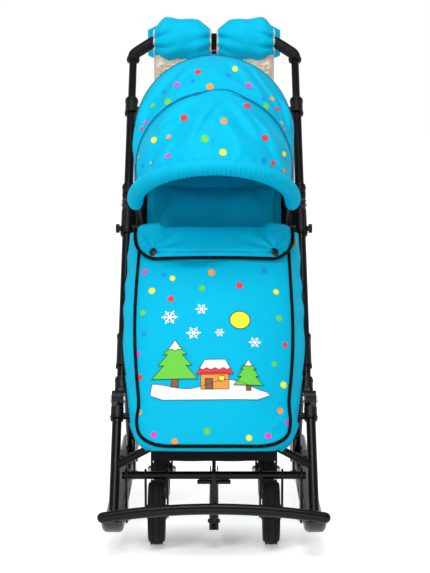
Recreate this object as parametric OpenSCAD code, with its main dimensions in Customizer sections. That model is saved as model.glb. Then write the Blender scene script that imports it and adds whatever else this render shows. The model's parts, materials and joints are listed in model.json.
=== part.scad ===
// Sled stroller: a child seat on two runners, with four wheels that swing down for bare ground.
// Millimetres, +Z up, nose towards -Y, origin on the ground under the middle of the outline.

/* [Runners] */
// Width of the flat oval runner tube
runner_w = 42; // [36:1:50]
// Thickness of the runner tube
runner_t = 20; // [16:1:24]
// Distance from the middle of the sled to the middle of a runner
runner_x = 201; // [190:1:215]
// Height of the runner soles while the sled stands on its wheels
sole_z = 45; // [38:1:52]
// Y of the rear end of the runners, counted from the nose bar
runner_end_y = 835; // [820:5:880]
// Bend radius of the runner nose
nose_r = 110; // [95:1:125]
// Angle that the nose turns up
nose_angle = 52; // [44:1:58]
// Diameter of the nose bar
nose_bar_d = 22; // [20:1:26]
// Half length of the nose bar, over its round ends
nose_bar_half = 229; // [225:1:240]
// How far the middle of the nose bar stands above its ends
nose_bar_rise = 15; // [8:1:25]

/* [Frame] */
// Wall of every frame tube
tube_wall = 1.4; // [1:0.1:1.8]
// Slope of the frame tubes
frame_angle = 46.9; // [44:0.1:50]
// Diameter of a front leg
leg_d = 20; // [18:0.5:22]
// Distance from the middle of the sled to a front leg
leg_x = 200; // [198:0.5:204]
// Diameter of the upper frame tubes and of the lower handle tubes
upper_d = 21; // [20.6:0.1:22]
// Distance from the middle of the sled to an upper frame tube
upper_x = 193; // [191:0.5:195]
// Place of the folding joint along the frame line
fold_u = 238; // [230:1:246]
// Place of the handle pivot along the frame line
flip_u = 750; // [740:1:770]
// Place of the canopy pivot along the frame line
canopy_u = 680; // [670:1:690]
// Diameter of the folding joint discs
disc_d = 36; // [30:1:40]
// Diameter of the seat frame tubes
seat_tube_d = 14; // [12:0.5:16]
// Distance from the middle of the sled to a seat rail
rail_x = 168; // [166:0.1:168]
// Y of the rear end of the seat frame
seat_rear_y = 520; // [510:1:530]
// Diameter of the rear leg tubes
rear_leg_d = 18; // [14:0.5:19]
// Y of the rear leg's foot pivot
rear_foot_y = 634; // [620:1:650]

/* [Handle] */
// Diameter of the handle bow tube
bow_d = 18; // [17:0.1:18.2]
// Place of the handle bar along the frame line
bar_u = 1250; // [1230:5:1290]
// Bend radius of the handle corners
bow_corner_r = 50; // [45:1:60]
// Outer diameter of the rubber grips
grip_d = 25; // [22:0.5:29]
// Length of the lower handle tubes, from the handle pivot to the top of their collars
collar_rise = 306; // [290:1:320]
// Length of a telescope collar
collar_len = 44; // [36:1:50]
// Outer diameter of a telescope collar
collar_d = 29; // [27:0.5:32]
// Depth of a hand muff, front to back
muff_depth = 96; // [86:1:110]
// Height of a hand muff
muff_h = 104; // [98:1:116]
// Length of the fleece panel that hangs below the bar
muff_drop = 112; // [95:1:125]
// Outer end of a hand muff, from the middle of the bar
muff_end_x = 142; // [130:0.5:142.5]

/* [Wheels] */
// Diameter of a wheel
wheel_d = 132; // [124:1:136]
// Width of a tyre
tyre_w = 34; // [28:1:36]
// Distance from the middle of the sled to a wheel
wheel_x = 116.5; // [112:0.5:120]
// Y of the front axles
front_axle_y = 144; // [138:1:150]
// Y of the rear axles
rear_axle_y = 493; // [480:1:505]
// Distance from a swing shaft down to its axles
fork_len = 77; // [74:1:84]
// Diameter of the swing shafts
swing_d = 16; // [14:0.5:18]
// Diameter of the wheel axles
axle_d = 10; // [8:0.5:12]
// Thickness of a fork plate
fork_t = 4; // [3:0.5:5]
// Length of the lever that the link bar joins
lever_len = 92; // [84:1:96]
// Forward lean of the lever
lever_lean = 18; // [10:1:24]
// Width of the link bar
link_w = 19; // [16:0.5:22]

/* [Seat] */
// Half width of the seat tub
tub_half = 172; // [164:1:174]
// Height of the underside of the seat tub
tub_z = 257; // [257:1:264]
// Thickness of the seat pad at its crown
seat_pad_t = 34; // [24:1:44]
// Slope of the backrest
back_angle = 68; // [60:1:74]
// Length of the backrest board
back_len = 450; // [420:5:470]
// Half width of the backrest board
back_half = 158; // [145:1:160]
// Thickness of the backrest board
board_t = 12; // [8:1:14]
// Thickness of the backrest pad at its crown
back_pad_t = 34; // [24:1:40]

/* [Canopy] */
// Diameter of the canopy bows
hoop_d = 6; // [5:0.2:6.2]
// Distance from the middle of the sled to the legs of the rear bow
hoop_x = 172; // [170:0.2:172.4]
// Reach of the rear bow from the canopy pivot
rear_reach = 392; // [380:1:400]
// Reach of the middle bow
mid_reach = 309; // [300:1:320]
// Reach of the front bow
front_reach = 317; // [310:1:325]
// Angle of the rear bow
rear_hoop_angle = 72; // [68:1:76]
// Angle of the middle bow
mid_hoop_angle = 105; // [100:1:110]
// Angle of the front bow
front_hoop_angle = 150.5; // [146:0.5:154]
// Thickness of the canopy cloth with its lining
cloth_t = 2.4; // [1.6:0.2:3]
// Thickness of the padded front roll
roll_d = 34; // [28:1:38]

/* [Apron] */
// Thickness of the quilted apron
apron_t = 8; // [5:0.5:10]
// Half width of the apron at its widest
apron_half = 190; // [184:0.5:190.5]
// Height of the apron's crown over the frame line
apron_crown = 114; // [100:1:122]
// Diameter of the snap caps on the flap
snap_d = 15; // [11:0.5:18]

/* [Hidden] */
$fn = 64;
// Radial clearance of a turning or sliding fit, gap between pieces that pass, and gap at a seat
run_gap = 0.05;
pass_gap = 0.4;
seat_gap = 0.3;
pin_d = 8;

// The frame line starts behind the runner nose, and u counts along it
line_y = 80;
line_z = sole_z + 61;
fa = frame_angle;
function line_at(u, v = 0) = [line_y + u * cos(fa) - v * sin(fa), line_z + u * sin(fa) + v * cos(fa)];

// Heights and places that follow from the driving sizes
runner_z = sole_z + runner_t / 2;
runner_top = sole_z + runner_t;
nose_flat_y = nose_r * sin(nose_angle);
nose_z = runner_z + nose_r * (1 - cos(nose_angle));
// The runner stops this many degrees short of the bar's middle, inside the bar's saddle cut
nose_short = 2.5;
nose_bar_span = nose_bar_half - nose_bar_d / 2;
nose_bar_r = (pow(runner_x, 2) + pow(nose_bar_rise, 2)) / (2 * nose_bar_rise);
nose_bar_mid_z = nose_z + nose_bar_rise;
wheel_r = wheel_d / 2;
axle_z = wheel_r;
swing_z = axle_z + fork_len;
bar_at = line_at(bar_u);
muff_top = 48;
y_rear = bar_at[0] + muff_depth / 2;
y_mid = (y_rear - nose_bar_d / 2) / 2;

// Folding joint, handle pivot, canopy pivot and rear leg pivot
fold_at = line_at(fold_u);
flip_at = line_at(flip_u);
canopy_at = line_at(canopy_u);
knuckle_reach = disc_d / 2 + 6;
knuckle_len = 28;
// Plastic sleeves stand over their tubes by this much in diameter, and their rings by a little more
sleeve_add = 7;
ring_add = 9;
collar_u = flip_u + collar_rise;
leg_lug_u = 430;
leg_lug_drop = upper_d / 2 + 11.5;
leg_top_at = line_at(leg_lug_u, -leg_lug_drop);
foot_pivot_z = runner_top + 16;
eye_d = 22;
eye_half = 5;

// Seat and backrest
rail_z = tub_z - seat_tube_d / 2;
front_bar_u = (rail_z - line_z) / sin(fa);
front_bar_at = line_at(front_bar_u);
back_hinge_z = rail_z + 35;
back_hinge_d = 10;
pad_base = board_t / 2 + seat_gap;
tub_wall = 4;
tub_floor = 6;
function back_at(d, off) = [seat_rear_y + d * cos(back_angle) - off * sin(back_angle),
                            back_hinge_z + d * sin(back_angle) + off * cos(back_angle)];

// Posts that hold the swing shafts stand inside the runners
post_t = 5;
post_x = runner_x - runner_w / 2 - post_t;
post_head_r = swing_d / 2 + 7;
swing_half = post_x + post_t + 7;
fork_in = wheel_x - tyre_w / 2 - 3.5 - fork_t;
fork_out = wheel_x + tyre_w / 2 + 3.5;
hub_half = tyre_w / 2 + 3.5 - pass_gap;

// Helpers for placing and for round tube
module placed() { translate([0, -y_mid, 0]) children(); }
module both() { for (side = [0, 1]) mirror([side, 0, 0]) children(); }
module on_line(u) { p = line_at(u); translate([0, p[0], p[1]]) rotate([fa - 90, 0, 0]) children(); }
module at(p) { translate([0, p[0], p[1]]) children(); }
module rod_x(d, x0, x1) { translate([x0, 0, 0]) rotate([0, 90, 0]) cylinder(d = d, h = x1 - x0); }
module rod_y(d, y0, y1) { translate([0, y0, 0]) rotate([-90, 0, 0]) cylinder(d = d, h = y1 - y0); }
module ring_2d(d, wall) { difference() { circle(d = d); circle(d = d - 2 * wall); } }
module pipe(d, len, wall) { linear_extrude(len) ring_2d(d, wall); }
module pipe_x(d, x0, x1, wall) { translate([x0, 0, 0]) rotate([0, 90, 0]) pipe(d, x1 - x0, wall); }
module pipe_y(d, y0, y1, wall) { translate([0, y0, 0]) rotate([-90, 0, 0]) pipe(d, y1 - y0, wall); }
// A profile drawn in the plane of y and z, given thickness along x
module slab_x(x0, x1) { translate([x0, 0, 0]) rotate([90, 0, 90]) linear_extrude(x1 - x0) children(); }

// Faces of a sheet between two grids of points, and of a tube swept through rings
function flat(rows) = [for (row = rows) for (p = row) p];
function two_tris(a, b, c, d) = [[a, b, c], [a, c, d]];
module sheet(top, under) {
    n = len(top);
    m = len(top[0]);
    k = n * m;
    skin = [for (i = [0 : n - 2]) for (j = [0 : m - 2])
        each two_tris(i * m + j, i * m + j + 1, (i + 1) * m + j + 1, (i + 1) * m + j)];
    back = [for (f = skin) [f[2] + k, f[1] + k, f[0] + k]];
    edge = concat([for (j = [0 : m - 1]) j], [for (i = [1 : n - 1]) i * m + m - 1],
                  [for (j = [m - 2 : -1 : 0]) (n - 1) * m + j], [for (i = [n - 2 : -1 : 1]) i * m]);
    last = len(edge) - 1;
    rim = [for (e = [0 : last]) let (a = edge[e], b = edge[e == last ? 0 : e + 1])
        each two_tris(b, a, a + k, b + k)];
    polyhedron(concat(flat(top), flat(under)), concat(skin, back, rim));
}
module swept(rings) {
    n = len(rings);
    m = len(rings[0]);
    wall = [for (i = [0 : n - 2]) for (j = [0 : m - 1]) let (q = (j + 1) % m)
        each two_tris(i * m + j, i * m + q, (i + 1) * m + q, (i + 1) * m + j)];
    first = [for (j = [1 : m - 2]) [0, j + 1, j]];
    last = [for (j = [1 : m - 2]) [(n - 1) * m, (n - 1) * m + j, (n - 1) * m + j + 1]];
    polyhedron(flat(rings), concat(wall, first, last));
}

// Runners with turned-up noses
module oval(w, t) {
    square([w - t, t], center = true);
    for (side = [-1, 1]) translate([side * (w - t) / 2, 0]) circle(d = t);
}
module runner_profile(hollow) {
    difference() {
        oval(runner_w, runner_t);
        if (hollow) oval(runner_w - 2 * tube_wall, runner_t - 2 * tube_wall);
    }
}
module runner_form(hollow) {
    translate([runner_x, nose_flat_y, runner_z]) {
        rotate([-90, 0, 0]) linear_extrude(runner_end_y - nose_flat_y) runner_profile(hollow);
        translate([0, 0, nose_r]) mirror([0, 1, 0]) rotate([0, 90, 0])
            rotate_extrude(angle = nose_angle - nose_short, $fn = 180)
                translate([nose_r, 0]) rotate(90) runner_profile(hollow);
    }
}
module nose_bar_form(d, wall) {
    half = asin(nose_bar_span / nose_bar_r);
    translate([0, 0, nose_bar_mid_z - nose_bar_r]) rotate([90, 0, 0]) rotate([0, 0, 90 - half])
        rotate_extrude(angle = 2 * half, $fn = 720)
            translate([nose_bar_r, 0]) difference() {
                circle(d = d);
                if (wall > 0) circle(d = d - 2 * wall);
            }
    end_z = nose_bar_mid_z - nose_bar_r * (1 - cos(half));
    for (side = [-1, 1]) translate([side * nose_bar_span, 0, end_z]) sphere(d = d - 0.4);
}
bolt_d = 6;
bolt_step = 20;
bolt_head_d = 11;
bolt_head_t = 4;
module bolt_places() {
    for (y = [front_axle_y, rear_axle_y], side = [-1, 1])
        translate([0, y + side * bolt_step / 2, runner_z]) children();
}
module runner() {
    color([0.09, 0.09, 0.1]) difference() {
        runner_form(true);
        nose_bar_form(nose_bar_d + 4 * run_gap, 0);
        bolt_places() rod_x(bolt_d + 2 * run_gap, post_x, post_x + post_t + runner_t / 2);
    }
}
module runner_left() { mirror([1, 0, 0]) runner(); }
module runner_right() { runner(); }
cap_t = 7;
module runner_end_caps() {
    color([0.13, 0.13, 0.14]) both() translate([runner_x, runner_end_y, runner_z]) rotate([-90, 0, 0]) {
        linear_extrude(cap_t) oval(runner_w, runner_t);
        translate([0, 0, -18]) linear_extrude(18)
            oval(runner_w - 2 * tube_wall - 2 * run_gap, runner_t - 2 * tube_wall - 2 * run_gap);
    }
}
module nose_bar() { color([0.09, 0.09, 0.1]) nose_bar_form(nose_bar_d, tube_wall); }

// Front legs, cut to the runner they stand on, and the plastic folding joints at their tops
module front_legs() {
    color([0.09, 0.09, 0.1]) both() difference() {
        translate([leg_x, 0, 0]) on_line(-60) pipe(leg_d, fold_u - knuckle_reach + 60, tube_wall);
        runner_form(false);
    }
}
// One half of a folding joint: a disc on one side of the tube and a sleeve over its end.
// It is drawn along +Z from the pivot, with the tube in the middle and the disc from x0 to x1.
module knuckle(d_tube, x0, x1, len) {
    difference() {
        union() {
            rod_x(disc_d, x0, x1);
            translate([x0, -disc_d / 3, 0]) cube([x1 - x0, disc_d * 2 / 3, knuckle_reach + 2]);
            translate([0, 0, knuckle_reach - 2]) cylinder(d = d_tube + sleeve_add, h = len);
            translate([0, 0, knuckle_reach + len - 10]) cylinder(d = d_tube + ring_add, h = 4);
        }
        translate([0, 0, knuckle_reach]) cylinder(d = d_tube + 2 * run_gap, h = len + 10);
        rod_x(pin_d + 2 * run_gap, x0 - 1, x1 + 1);
    }
}
// The socket's disc stands outside the joint plane and the tongue's disc inside it
joint_x = (leg_x + upper_x) / 2 + 3.5;
disc_t = 12;
module fold_sockets() {
    color([0.12, 0.12, 0.13]) both() translate([leg_x, 0, 0]) on_line(fold_u) rotate([180, 0, 0])
        knuckle(leg_d, joint_x - leg_x + pass_gap / 2, joint_x - leg_x + disc_t, knuckle_len);
}
module fold_tongues() {
    color([0.12, 0.12, 0.13]) both() translate([upper_x, 0, 0]) on_line(fold_u)
        knuckle(upper_d, joint_x - upper_x - disc_t, joint_x - upper_x - pass_gap / 2, knuckle_len);
}
module pivot_pin(x_joint) {
    x_out = x_joint + disc_t;
    x_in = x_joint - disc_t - seat_gap;
    rod_x(pin_d, x_in - 3, x_out + 3.5);
    rod_x(pin_d + 6, x_in - 3, x_in);
    rod_x(pin_d + 8, x_out, x_out + 2.5);
    rod_x(pin_d + 4, x_out, x_out + 4);
}
module fold_pins() { color([0.55, 0.56, 0.58]) both() at(fold_at) pivot_pin(joint_x); }

// Seat frame: a bar between the front legs, two rails and a rear bar with the backrest lugs
module seat_front_bar() {
    color([0.09, 0.09, 0.1]) difference() {
        at(front_bar_at) pipe_x(seat_tube_d, -leg_x, leg_x, tube_wall);
        both() translate([leg_x, 0, 0]) on_line(0) cylinder(d = leg_d + ring_add + 2 * run_gap, h = fold_u);
    }
}
module seat_rails() {
    color([0.09, 0.09, 0.1]) both() difference() {
        translate([rail_x, 0, rail_z]) pipe_y(seat_tube_d, front_bar_at[0], seat_rear_y, tube_wall);
        at(front_bar_at) rod_x(seat_tube_d, 0, leg_x);
        translate([0, seat_rear_y, rail_z]) rod_x(seat_tube_d, 0, leg_x);
    }
}
lug_x = 100;
lug_t = 6;
lug_r = back_hinge_d / 2 + 6;
module seat_rear_bar() {
    color([0.09, 0.09, 0.1]) {
        translate([0, seat_rear_y, rail_z])
            pipe_x(seat_tube_d, -rail_x - seat_tube_d / 2, rail_x + seat_tube_d / 2, tube_wall);
        both() difference() {
            slab_x(lug_x - lug_t / 2, lug_x + lug_t / 2) {
                translate([seat_rear_y, back_hinge_z]) circle(r = lug_r);
                translate([seat_rear_y - lug_r, rail_z]) square([2 * lug_r, back_hinge_z - rail_z]);
            }
            translate([0, seat_rear_y, back_hinge_z])
                rod_x(back_hinge_d + 2 * run_gap, lug_x - lug_t, lug_x + lug_t);
            translate([0, seat_rear_y, rail_z]) rod_x(seat_tube_d - tube_wall, lug_x - lug_t, lug_x + lug_t);
        }
    }
}

// Steel posts on the runners: they carry the swing shafts, and the rear pair the seat rails
post_half = 20;
post_neck = 11;
module post(y, top_z) {
    difference() {
        slab_x(post_x, post_x + post_t) {
            translate([y, swing_z]) circle(r = post_head_r);
            polygon([[y - post_half, sole_z + 3], [y + post_half, sole_z + 3],
                     [y + post_half, runner_top + 4], [y + post_neck, swing_z],
                     [y + post_neck, top_z], [y - post_neck, top_z],
                     [y - post_neck, swing_z], [y - post_half, runner_top + 4]]);
        }
        translate([0, y, swing_z]) rod_x(swing_d + 2 * run_gap, post_x - 1, post_x + post_t + 1);
        bolt_places() rod_x(bolt_d + 2 * run_gap, post_x - 1, post_x + post_t + 1);
    }
}
module front_posts() { color([0.1, 0.1, 0.11]) both() post(front_axle_y, swing_z); }
module rear_posts() { color([0.1, 0.1, 0.11]) both() post(rear_axle_y, tub_z - seat_gap); }
module post_bolts() {
    color([0.6, 0.61, 0.63]) both() bolt_places() {
        rod_x(bolt_d, post_x - 1, post_x + post_t + 8);
        rod_x(bolt_head_d, post_x - bolt_head_t, post_x);
    }
}

// Footrest: a cranked tube between the front legs, with the black fabric sole slung under it
footrest_d = 16;
footrest_u = 80;
footrest_half = 130;
footrest_rise = 40;
footrest_end = line_at(footrest_u);
footrest_y = footrest_end[0] - 10;
footrest_z = footrest_end[1] + footrest_rise;
module rod_between(p, q, d) {
    v = q - p;
    len = norm(v);
    translate(p) rotate([0, acos(v[2] / len), atan2(v[1], v[0])]) cylinder(d = d, h = len);
}
module footrest_tube() {
    corner = [footrest_half, footrest_y, footrest_z];
    color([0.09, 0.09, 0.1]) difference() {
        union() {
            translate([0, footrest_y, footrest_z]) rod_x(footrest_d, -footrest_half, footrest_half);
            both() translate(corner) sphere(d = footrest_d);
            both() rod_between(corner, [leg_x, footrest_end[0], footrest_end[1]], footrest_d);
        }
        both() translate([leg_x, 0, 0]) on_line(0) cylinder(d = leg_d, h = fold_u);
    }
}
sling_t = 6;
sling_tuck = 40;
sling_half = footrest_half - 2;
module foot_sling() {
    top = footrest_z - footrest_d / 2 - seat_gap;
    lip = footrest_y - footrest_d / 2 - seat_gap;
    rear = front_bar_at[0] + sling_tuck;
    rear_z = tub_z - seat_tube_d - seat_gap;
    color([0.07, 0.07, 0.08]) slab_x(-sling_half, sling_half) polygon([
        [lip - sling_t, footrest_z], [lip - sling_t, top - 4], [lip, top - sling_t],
        [footrest_y + 4, top - sling_t], [front_bar_at[0] - 10, rear_z - sling_t], [rear, rear_z - sling_t],
        [rear, rear_z], [front_bar_at[0] - 12, rear_z], [footrest_y + 4, top], [lip + 2, top], [lip, footrest_z]]);
}

// Seat tub: a fabric floor with two side wings that hang along the upper tubes
wing_top_u = 540;
tub_end_y = seat_rear_y - lug_r - 2;
module seat_tub() {
    low = line_at(fold_u + 30, -12);
    high = line_at(wing_top_u, -12);
    rear_d = (high[1] - back_hinge_z) / sin(back_angle) - 40;
    back_top = back_at(rear_d, 0);
    color([0.0, 0.42, 0.58]) {
        translate([-tub_half, front_bar_at[0] + seat_tube_d, tub_z])
            cube([2 * tub_half, tub_end_y - front_bar_at[0] - seat_tube_d, tub_floor]);
        both() slab_x(tub_half - tub_wall, tub_half) polygon([
            [front_bar_at[0] + seat_tube_d, tub_z], [tub_end_y, tub_z],
            back_top, high, low]);
    }
}

// Cushions: a flat back and a crowned face whose edges draw in between the corners
function crown(a, b) = pow(max(0, 1 - pow(abs(a), 3)), 0.5) * pow(max(0, 1 - pow(abs(b), 3)), 0.5);
pad_rows = 11;
pad_cols = 12;
pad_edge = 7;
pad_draw = 6;
pad_channel = 4;
function span(i, n) = 2 * i / n - 1;
// A point of a pad face: a runs along the pad and b across it, both from -1 to 1
function pad_face(a, b, len, half, t) =
    [-half * b * (1 - pad_draw / half * (1 - a * a) * abs(b)),
     len * (a + 1) / 2 + pad_draw * a * (abs(a) == 1 ? -(1 - b * b) : 0),
     pad_edge + (t - pad_edge) * crown(a, b) - pad_channel * exp(-pow(b / 0.09, 2)) * (1 - a * a)];
function pad_grid(len, half, t) = [for (i = [0 : pad_rows]) [for (j = [0 : pad_cols])
    pad_face(span(i, pad_rows), span(j, pad_cols), len, half, t)]];
function drop_to(grid, z) = [for (row = grid) [for (p = row) [p[0], p[1], z]]];
module pad(len, half, t) {
    face = pad_grid(len, half, t);
    sheet(face, drop_to(face, 0));
}
seat_pad_gap = 8;
module seat_pad() {
    y0 = front_bar_at[0] + seat_tube_d + seat_pad_gap;
    color([0.0, 0.5, 0.68]) translate([0, y0, tub_z + tub_floor + seat_gap])
        pad(seat_rear_y - 18 - y0, tub_half - tub_wall - seat_pad_gap, seat_pad_t);
}

// Backrest: a board on a hinge rod, with a pad in front
board_low = 18;
board_corner_r = 40;
knuckle_w = 20;
knuckle_mid_w = 120;
knuckle_x0 = lug_x + lug_t / 2 + 1;
module in_back() { at([seat_rear_y, back_hinge_z]) rotate([back_angle, 0, 0]) children(); }
module backrest_board() {
    color([0.06, 0.06, 0.07]) in_back() difference() {
        union() {
            translate([0, 0, -board_t / 2]) linear_extrude(board_t) {
                translate([-back_half, board_low]) square([2 * back_half, back_len - board_low - board_corner_r]);
                for (side = [-1, 1]) translate([side * (back_half - board_corner_r), back_len - board_corner_r])
                    circle(r = board_corner_r);
                translate([board_corner_r - back_half, back_len / 2])
                    square([2 * (back_half - board_corner_r), back_len / 2]);
            }
            rod_x(back_hinge_d, -knuckle_x0 - 26, knuckle_x0 + 26);
            for (side = [-1, 1]) translate([side * (knuckle_x0 + 2 + knuckle_w / 2), 0, 0])
                translate([-knuckle_w / 2, 0, -board_t / 2]) cube([knuckle_w, board_low + 1, board_t]);
            translate([-knuckle_mid_w / 2, 0, -board_t / 2]) cube([knuckle_mid_w, board_low + 1, board_t]);
        }
    }
}
back_pad_low = 26;
module backrest_pad() {
    color([0.0, 0.5, 0.68]) in_back() translate([0, back_pad_low, pad_base])
        pad(back_len - back_pad_low - 10, back_half - 6, back_pad_t);
}

// Apron: a quilted cover over the legs, arched across the frame line from the footrest to the chest.
// t runs from 0 at the feet to 1 at the chest, and s from -1 to 1 across.
apron_rows = 18;
apron_cols = 20;
apron_low_u = 96;
apron_side_u = apron_low_u + 30;
apron_edge_u = 655;
apron_top_u = 600;
apron_edge_v = (upper_d + ring_add) / 2 + seat_gap;
apron_toe_half = 138;
apron_chest_half = 174;
apron_toe_crown = 64;
function apron_width(t) = apron_half - (apron_half - apron_toe_half) * pow(1 - t, 6)
    - (apron_half - apron_chest_half) * pow(t, 3);
function apron_height(t) = apron_toe_crown + (apron_crown - apron_toe_crown) * (1 - pow(1 - t, 3));
function apron_arch(s) = pow(max(0, 1 - pow(abs(s), 2.6)), 0.5);
function apron_point(t, s, lift) = let (
    w = apron_width(t) + lift,
    arch = apron_arch(s),
    v = apron_edge_v + max(0, apron_height(t) + lift - apron_edge_v) * arch,
    edge_u = apron_side_u + (apron_edge_u - apron_side_u) * t,
    crown_u = apron_low_u + (apron_top_u - apron_low_u) * t,
    p = line_at(edge_u + (crown_u - edge_u) * arch, v))
    [-w * s, p[0], p[1]];
// Points across the arch crowd towards the edges, where it turns down
function apron_s(j, n) = sin(90 * span(j, n));
function apron_grid(t0, t1, s1, rows, cols, lift) = [for (i = [0 : rows]) [for (j = [0 : cols])
    apron_point(t0 + (t1 - t0) * i / rows, s1 * apron_s(j, cols), lift)]];
module apron() {
    color([0.0, 0.72, 0.9]) sheet(apron_grid(0, 1, 1, apron_rows, apron_cols, 0),
                                  apron_grid(0, 1, 1, apron_rows, apron_cols, -apron_t));
}
// The flap folds over the apron's last rows, short of its side edges, and lies on the same facets
flap_rows = 3;
flap_inset = 2;
flap_t = 5;
flap_t0 = 1 - flap_rows / apron_rows;
function flap_grid(lift) = [for (i = [apron_rows - flap_rows : apron_rows])
    [for (j = [flap_inset : apron_cols - flap_inset])
        apron_point(i / apron_rows, apron_s(j, apron_cols), lift)]];
module apron_flap() {
    color([0.0, 0.7, 0.88]) sheet(flap_grid(seat_gap + flap_t), flap_grid(seat_gap));
}
snap_t = 4;
snap_s = 0.72;
snap_at_t = flap_t0 + 0.035;
module flap_snaps() {
    lift = flap_t + seat_gap;
    step = 0.01;
    color([0.05, 0.05, 0.06]) for (side = [-1, 1]) {
        p = apron_point(snap_at_t, side * snap_s, lift);
        along = apron_point(snap_at_t + step, side * snap_s, lift) - p;
        across = p - apron_point(snap_at_t, side * snap_s + step, lift);
        normal = cross(across, along);
        tilt = acos(normal[2] / norm(normal));
        translate(p) rotate([0, tilt, atan2(normal[1], normal[0])]) translate([0, 0, seat_gap]) {
            cylinder(d = snap_d, h = snap_t / 2);
            cylinder(d1 = snap_d, d2 = snap_d * 0.7, h = snap_t);
        }
    }
}

// Upper frame tubes with their top heads, sleeves and the lugs that carry the rear legs
upper_start_u = fold_u + knuckle_reach;
upper_end_u = flip_u - knuckle_reach;
module upper_tubes() {
    color([0.09, 0.09, 0.1]) both() translate([upper_x, 0, 0])
        on_line(upper_start_u) pipe(upper_d, upper_end_u - upper_start_u, tube_wall);
}
head_len = 66;
boss_d = 18;
function hoop_layer(k) = hoop_x - k * (hoop_d + pass_gap);
module upper_heads() {
    boss_in = hoop_layer(0) + hoop_d / 2 + seat_gap - upper_x;
    pin_in = hoop_layer(2) - hoop_d / 2 - 0.6 - upper_x;
    color([0.12, 0.12, 0.13]) both() translate([upper_x, 0, 0]) {
        on_line(flip_u) rotate([180, 0, 0]) knuckle(upper_d, pass_gap / 2, disc_t, head_len);
        difference() {
            at(canopy_at) {
                rod_x(boss_d, boss_in, -upper_d / 2);
                rod_x(pin_d, pin_in, -upper_d / 2);
                rod_x(pin_d + 5, pin_in - 2, pin_in);
            }
            on_line(0) cylinder(d = upper_d + 2 * run_gap, h = flip_u);
        }
    }
}
knob_d = 20;
knob_t = 11;
module canopy_knobs() {
    x0 = upper_x + (upper_d + sleeve_add) / 2;
    color([0.1, 0.1, 0.11]) both() at(canopy_at) {
        rod_x(knob_d * 0.6, x0, x0 + 4);
        difference() {
            rod_x(knob_d, x0 + 3, x0 + knob_t);
            for (a = [0 : 45 : 315]) rotate([a, 0, 0]) translate([0, knob_d / 2 + 1, 0])
                rod_x(5, x0, x0 + knob_t + 1);
        }
    }
}
sleeve_u = 316;
sleeve_len = 80;
module tube_sleeves() {
    color([0.11, 0.11, 0.12]) both() translate([upper_x, 0, 0]) on_line(sleeve_u) difference() {
        union() {
            cylinder(d = upper_d + sleeve_add - 2, h = sleeve_len);
            for (z = [0, sleeve_len - 6]) translate([0, 0, z]) cylinder(d = upper_d + sleeve_add, h = 6);
        }
        translate([0, 0, -1]) cylinder(d = upper_d + 2 * run_gap, h = sleeve_len + 2);
    }
}
leg_lug_t = 3.2;
lug_end_r = 9;
module leg_lugs() {
    color([0.1, 0.1, 0.11]) both() translate([upper_x, 0, 0]) difference() {
        union() {
            for (side = [-1, 1]) {
                x0 = side > 0 ? eye_half + seat_gap : -eye_half - seat_gap - leg_lug_t;
                slab_x(x0, x0 + leg_lug_t) {
                    translate(leg_top_at) circle(r = lug_end_r);
                    polygon([line_at(leg_lug_u - 20), line_at(leg_lug_u + 20),
                             line_at(leg_lug_u + lug_end_r, -leg_lug_drop),
                             line_at(leg_lug_u - lug_end_r, -leg_lug_drop)]);
                }
            }
            at(leg_top_at) rod_x(pin_d, -eye_half - seat_gap - leg_lug_t - 2, eye_half + seat_gap + leg_lug_t + 2);
        }
        on_line(0) cylinder(d = upper_d, h = flip_u);
    }
}
// The bow that the backrest leans on runs back from the upper tubes and round behind the board
back_bow_d = 14;
back_bow_x = upper_x - 5;
back_bow_r = 40;
back_bow_reach = 248;
// Room behind the board for the bow's bends and for the start of the fold
back_bow_gap = 3.2;
module backrest_bow() {
    p = back_at(back_bow_reach, -board_t / 2 - back_bow_gap - back_bow_d / 2);
    start_y = line_at((p[1] - line_z) / sin(fa))[0];
    color([0.09, 0.09, 0.1]) difference() {
        union() {
            translate([0, p[0], p[1]]) pipe_x(back_bow_d, back_bow_r - back_bow_x, back_bow_x - back_bow_r, tube_wall);
            both() {
                translate([back_bow_x, 0, p[1]]) pipe_y(back_bow_d, start_y, p[0] - back_bow_r, tube_wall);
                translate([back_bow_x - back_bow_r, p[0] - back_bow_r, p[1]]) rotate_extrude(angle = 90, $fn = 128)
                    translate([back_bow_r, 0]) ring_2d(back_bow_d, tube_wall);
            }
        }
        both() translate([upper_x, 0, 0]) on_line(0) cylinder(d = upper_d, h = flip_u);
    }
}

// Rear legs and the shoes that slide on the runners when the frame folds
leg_vec = [rear_foot_y, foot_pivot_z] - leg_top_at;
leg_len = norm(leg_vec);
leg_slope = atan2(leg_vec[1], leg_vec[0]);
module rear_legs() {
    color([0.09, 0.09, 0.1]) both() translate([upper_x, 0, 0]) difference() {
        union() {
            at(leg_top_at) rotate([leg_slope - 90, 0, 0]) translate([0, 0, eye_d / 2 - 4])
                pipe(rear_leg_d, leg_len - eye_d + 8, tube_wall);
            for (p = [leg_top_at, [rear_foot_y, foot_pivot_z]]) at(p) rod_x(eye_d, -eye_half, eye_half);
        }
        for (p = [leg_top_at, [rear_foot_y, foot_pivot_z]])
            at(p) rod_x(pin_d + 2 * run_gap, -rear_leg_d, rear_leg_d);
        for (p = [leg_top_at, [rear_foot_y, foot_pivot_z]], side = [-1, 1])
            at(p) rod_x(eye_d + 2, side > 0 ? eye_half : -rear_leg_d, side > 0 ? rear_leg_d : -eye_half);
    }
}
shoe_half = 28;
shoe_floor = 4;
shoe_cheek = 3.5;
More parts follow.
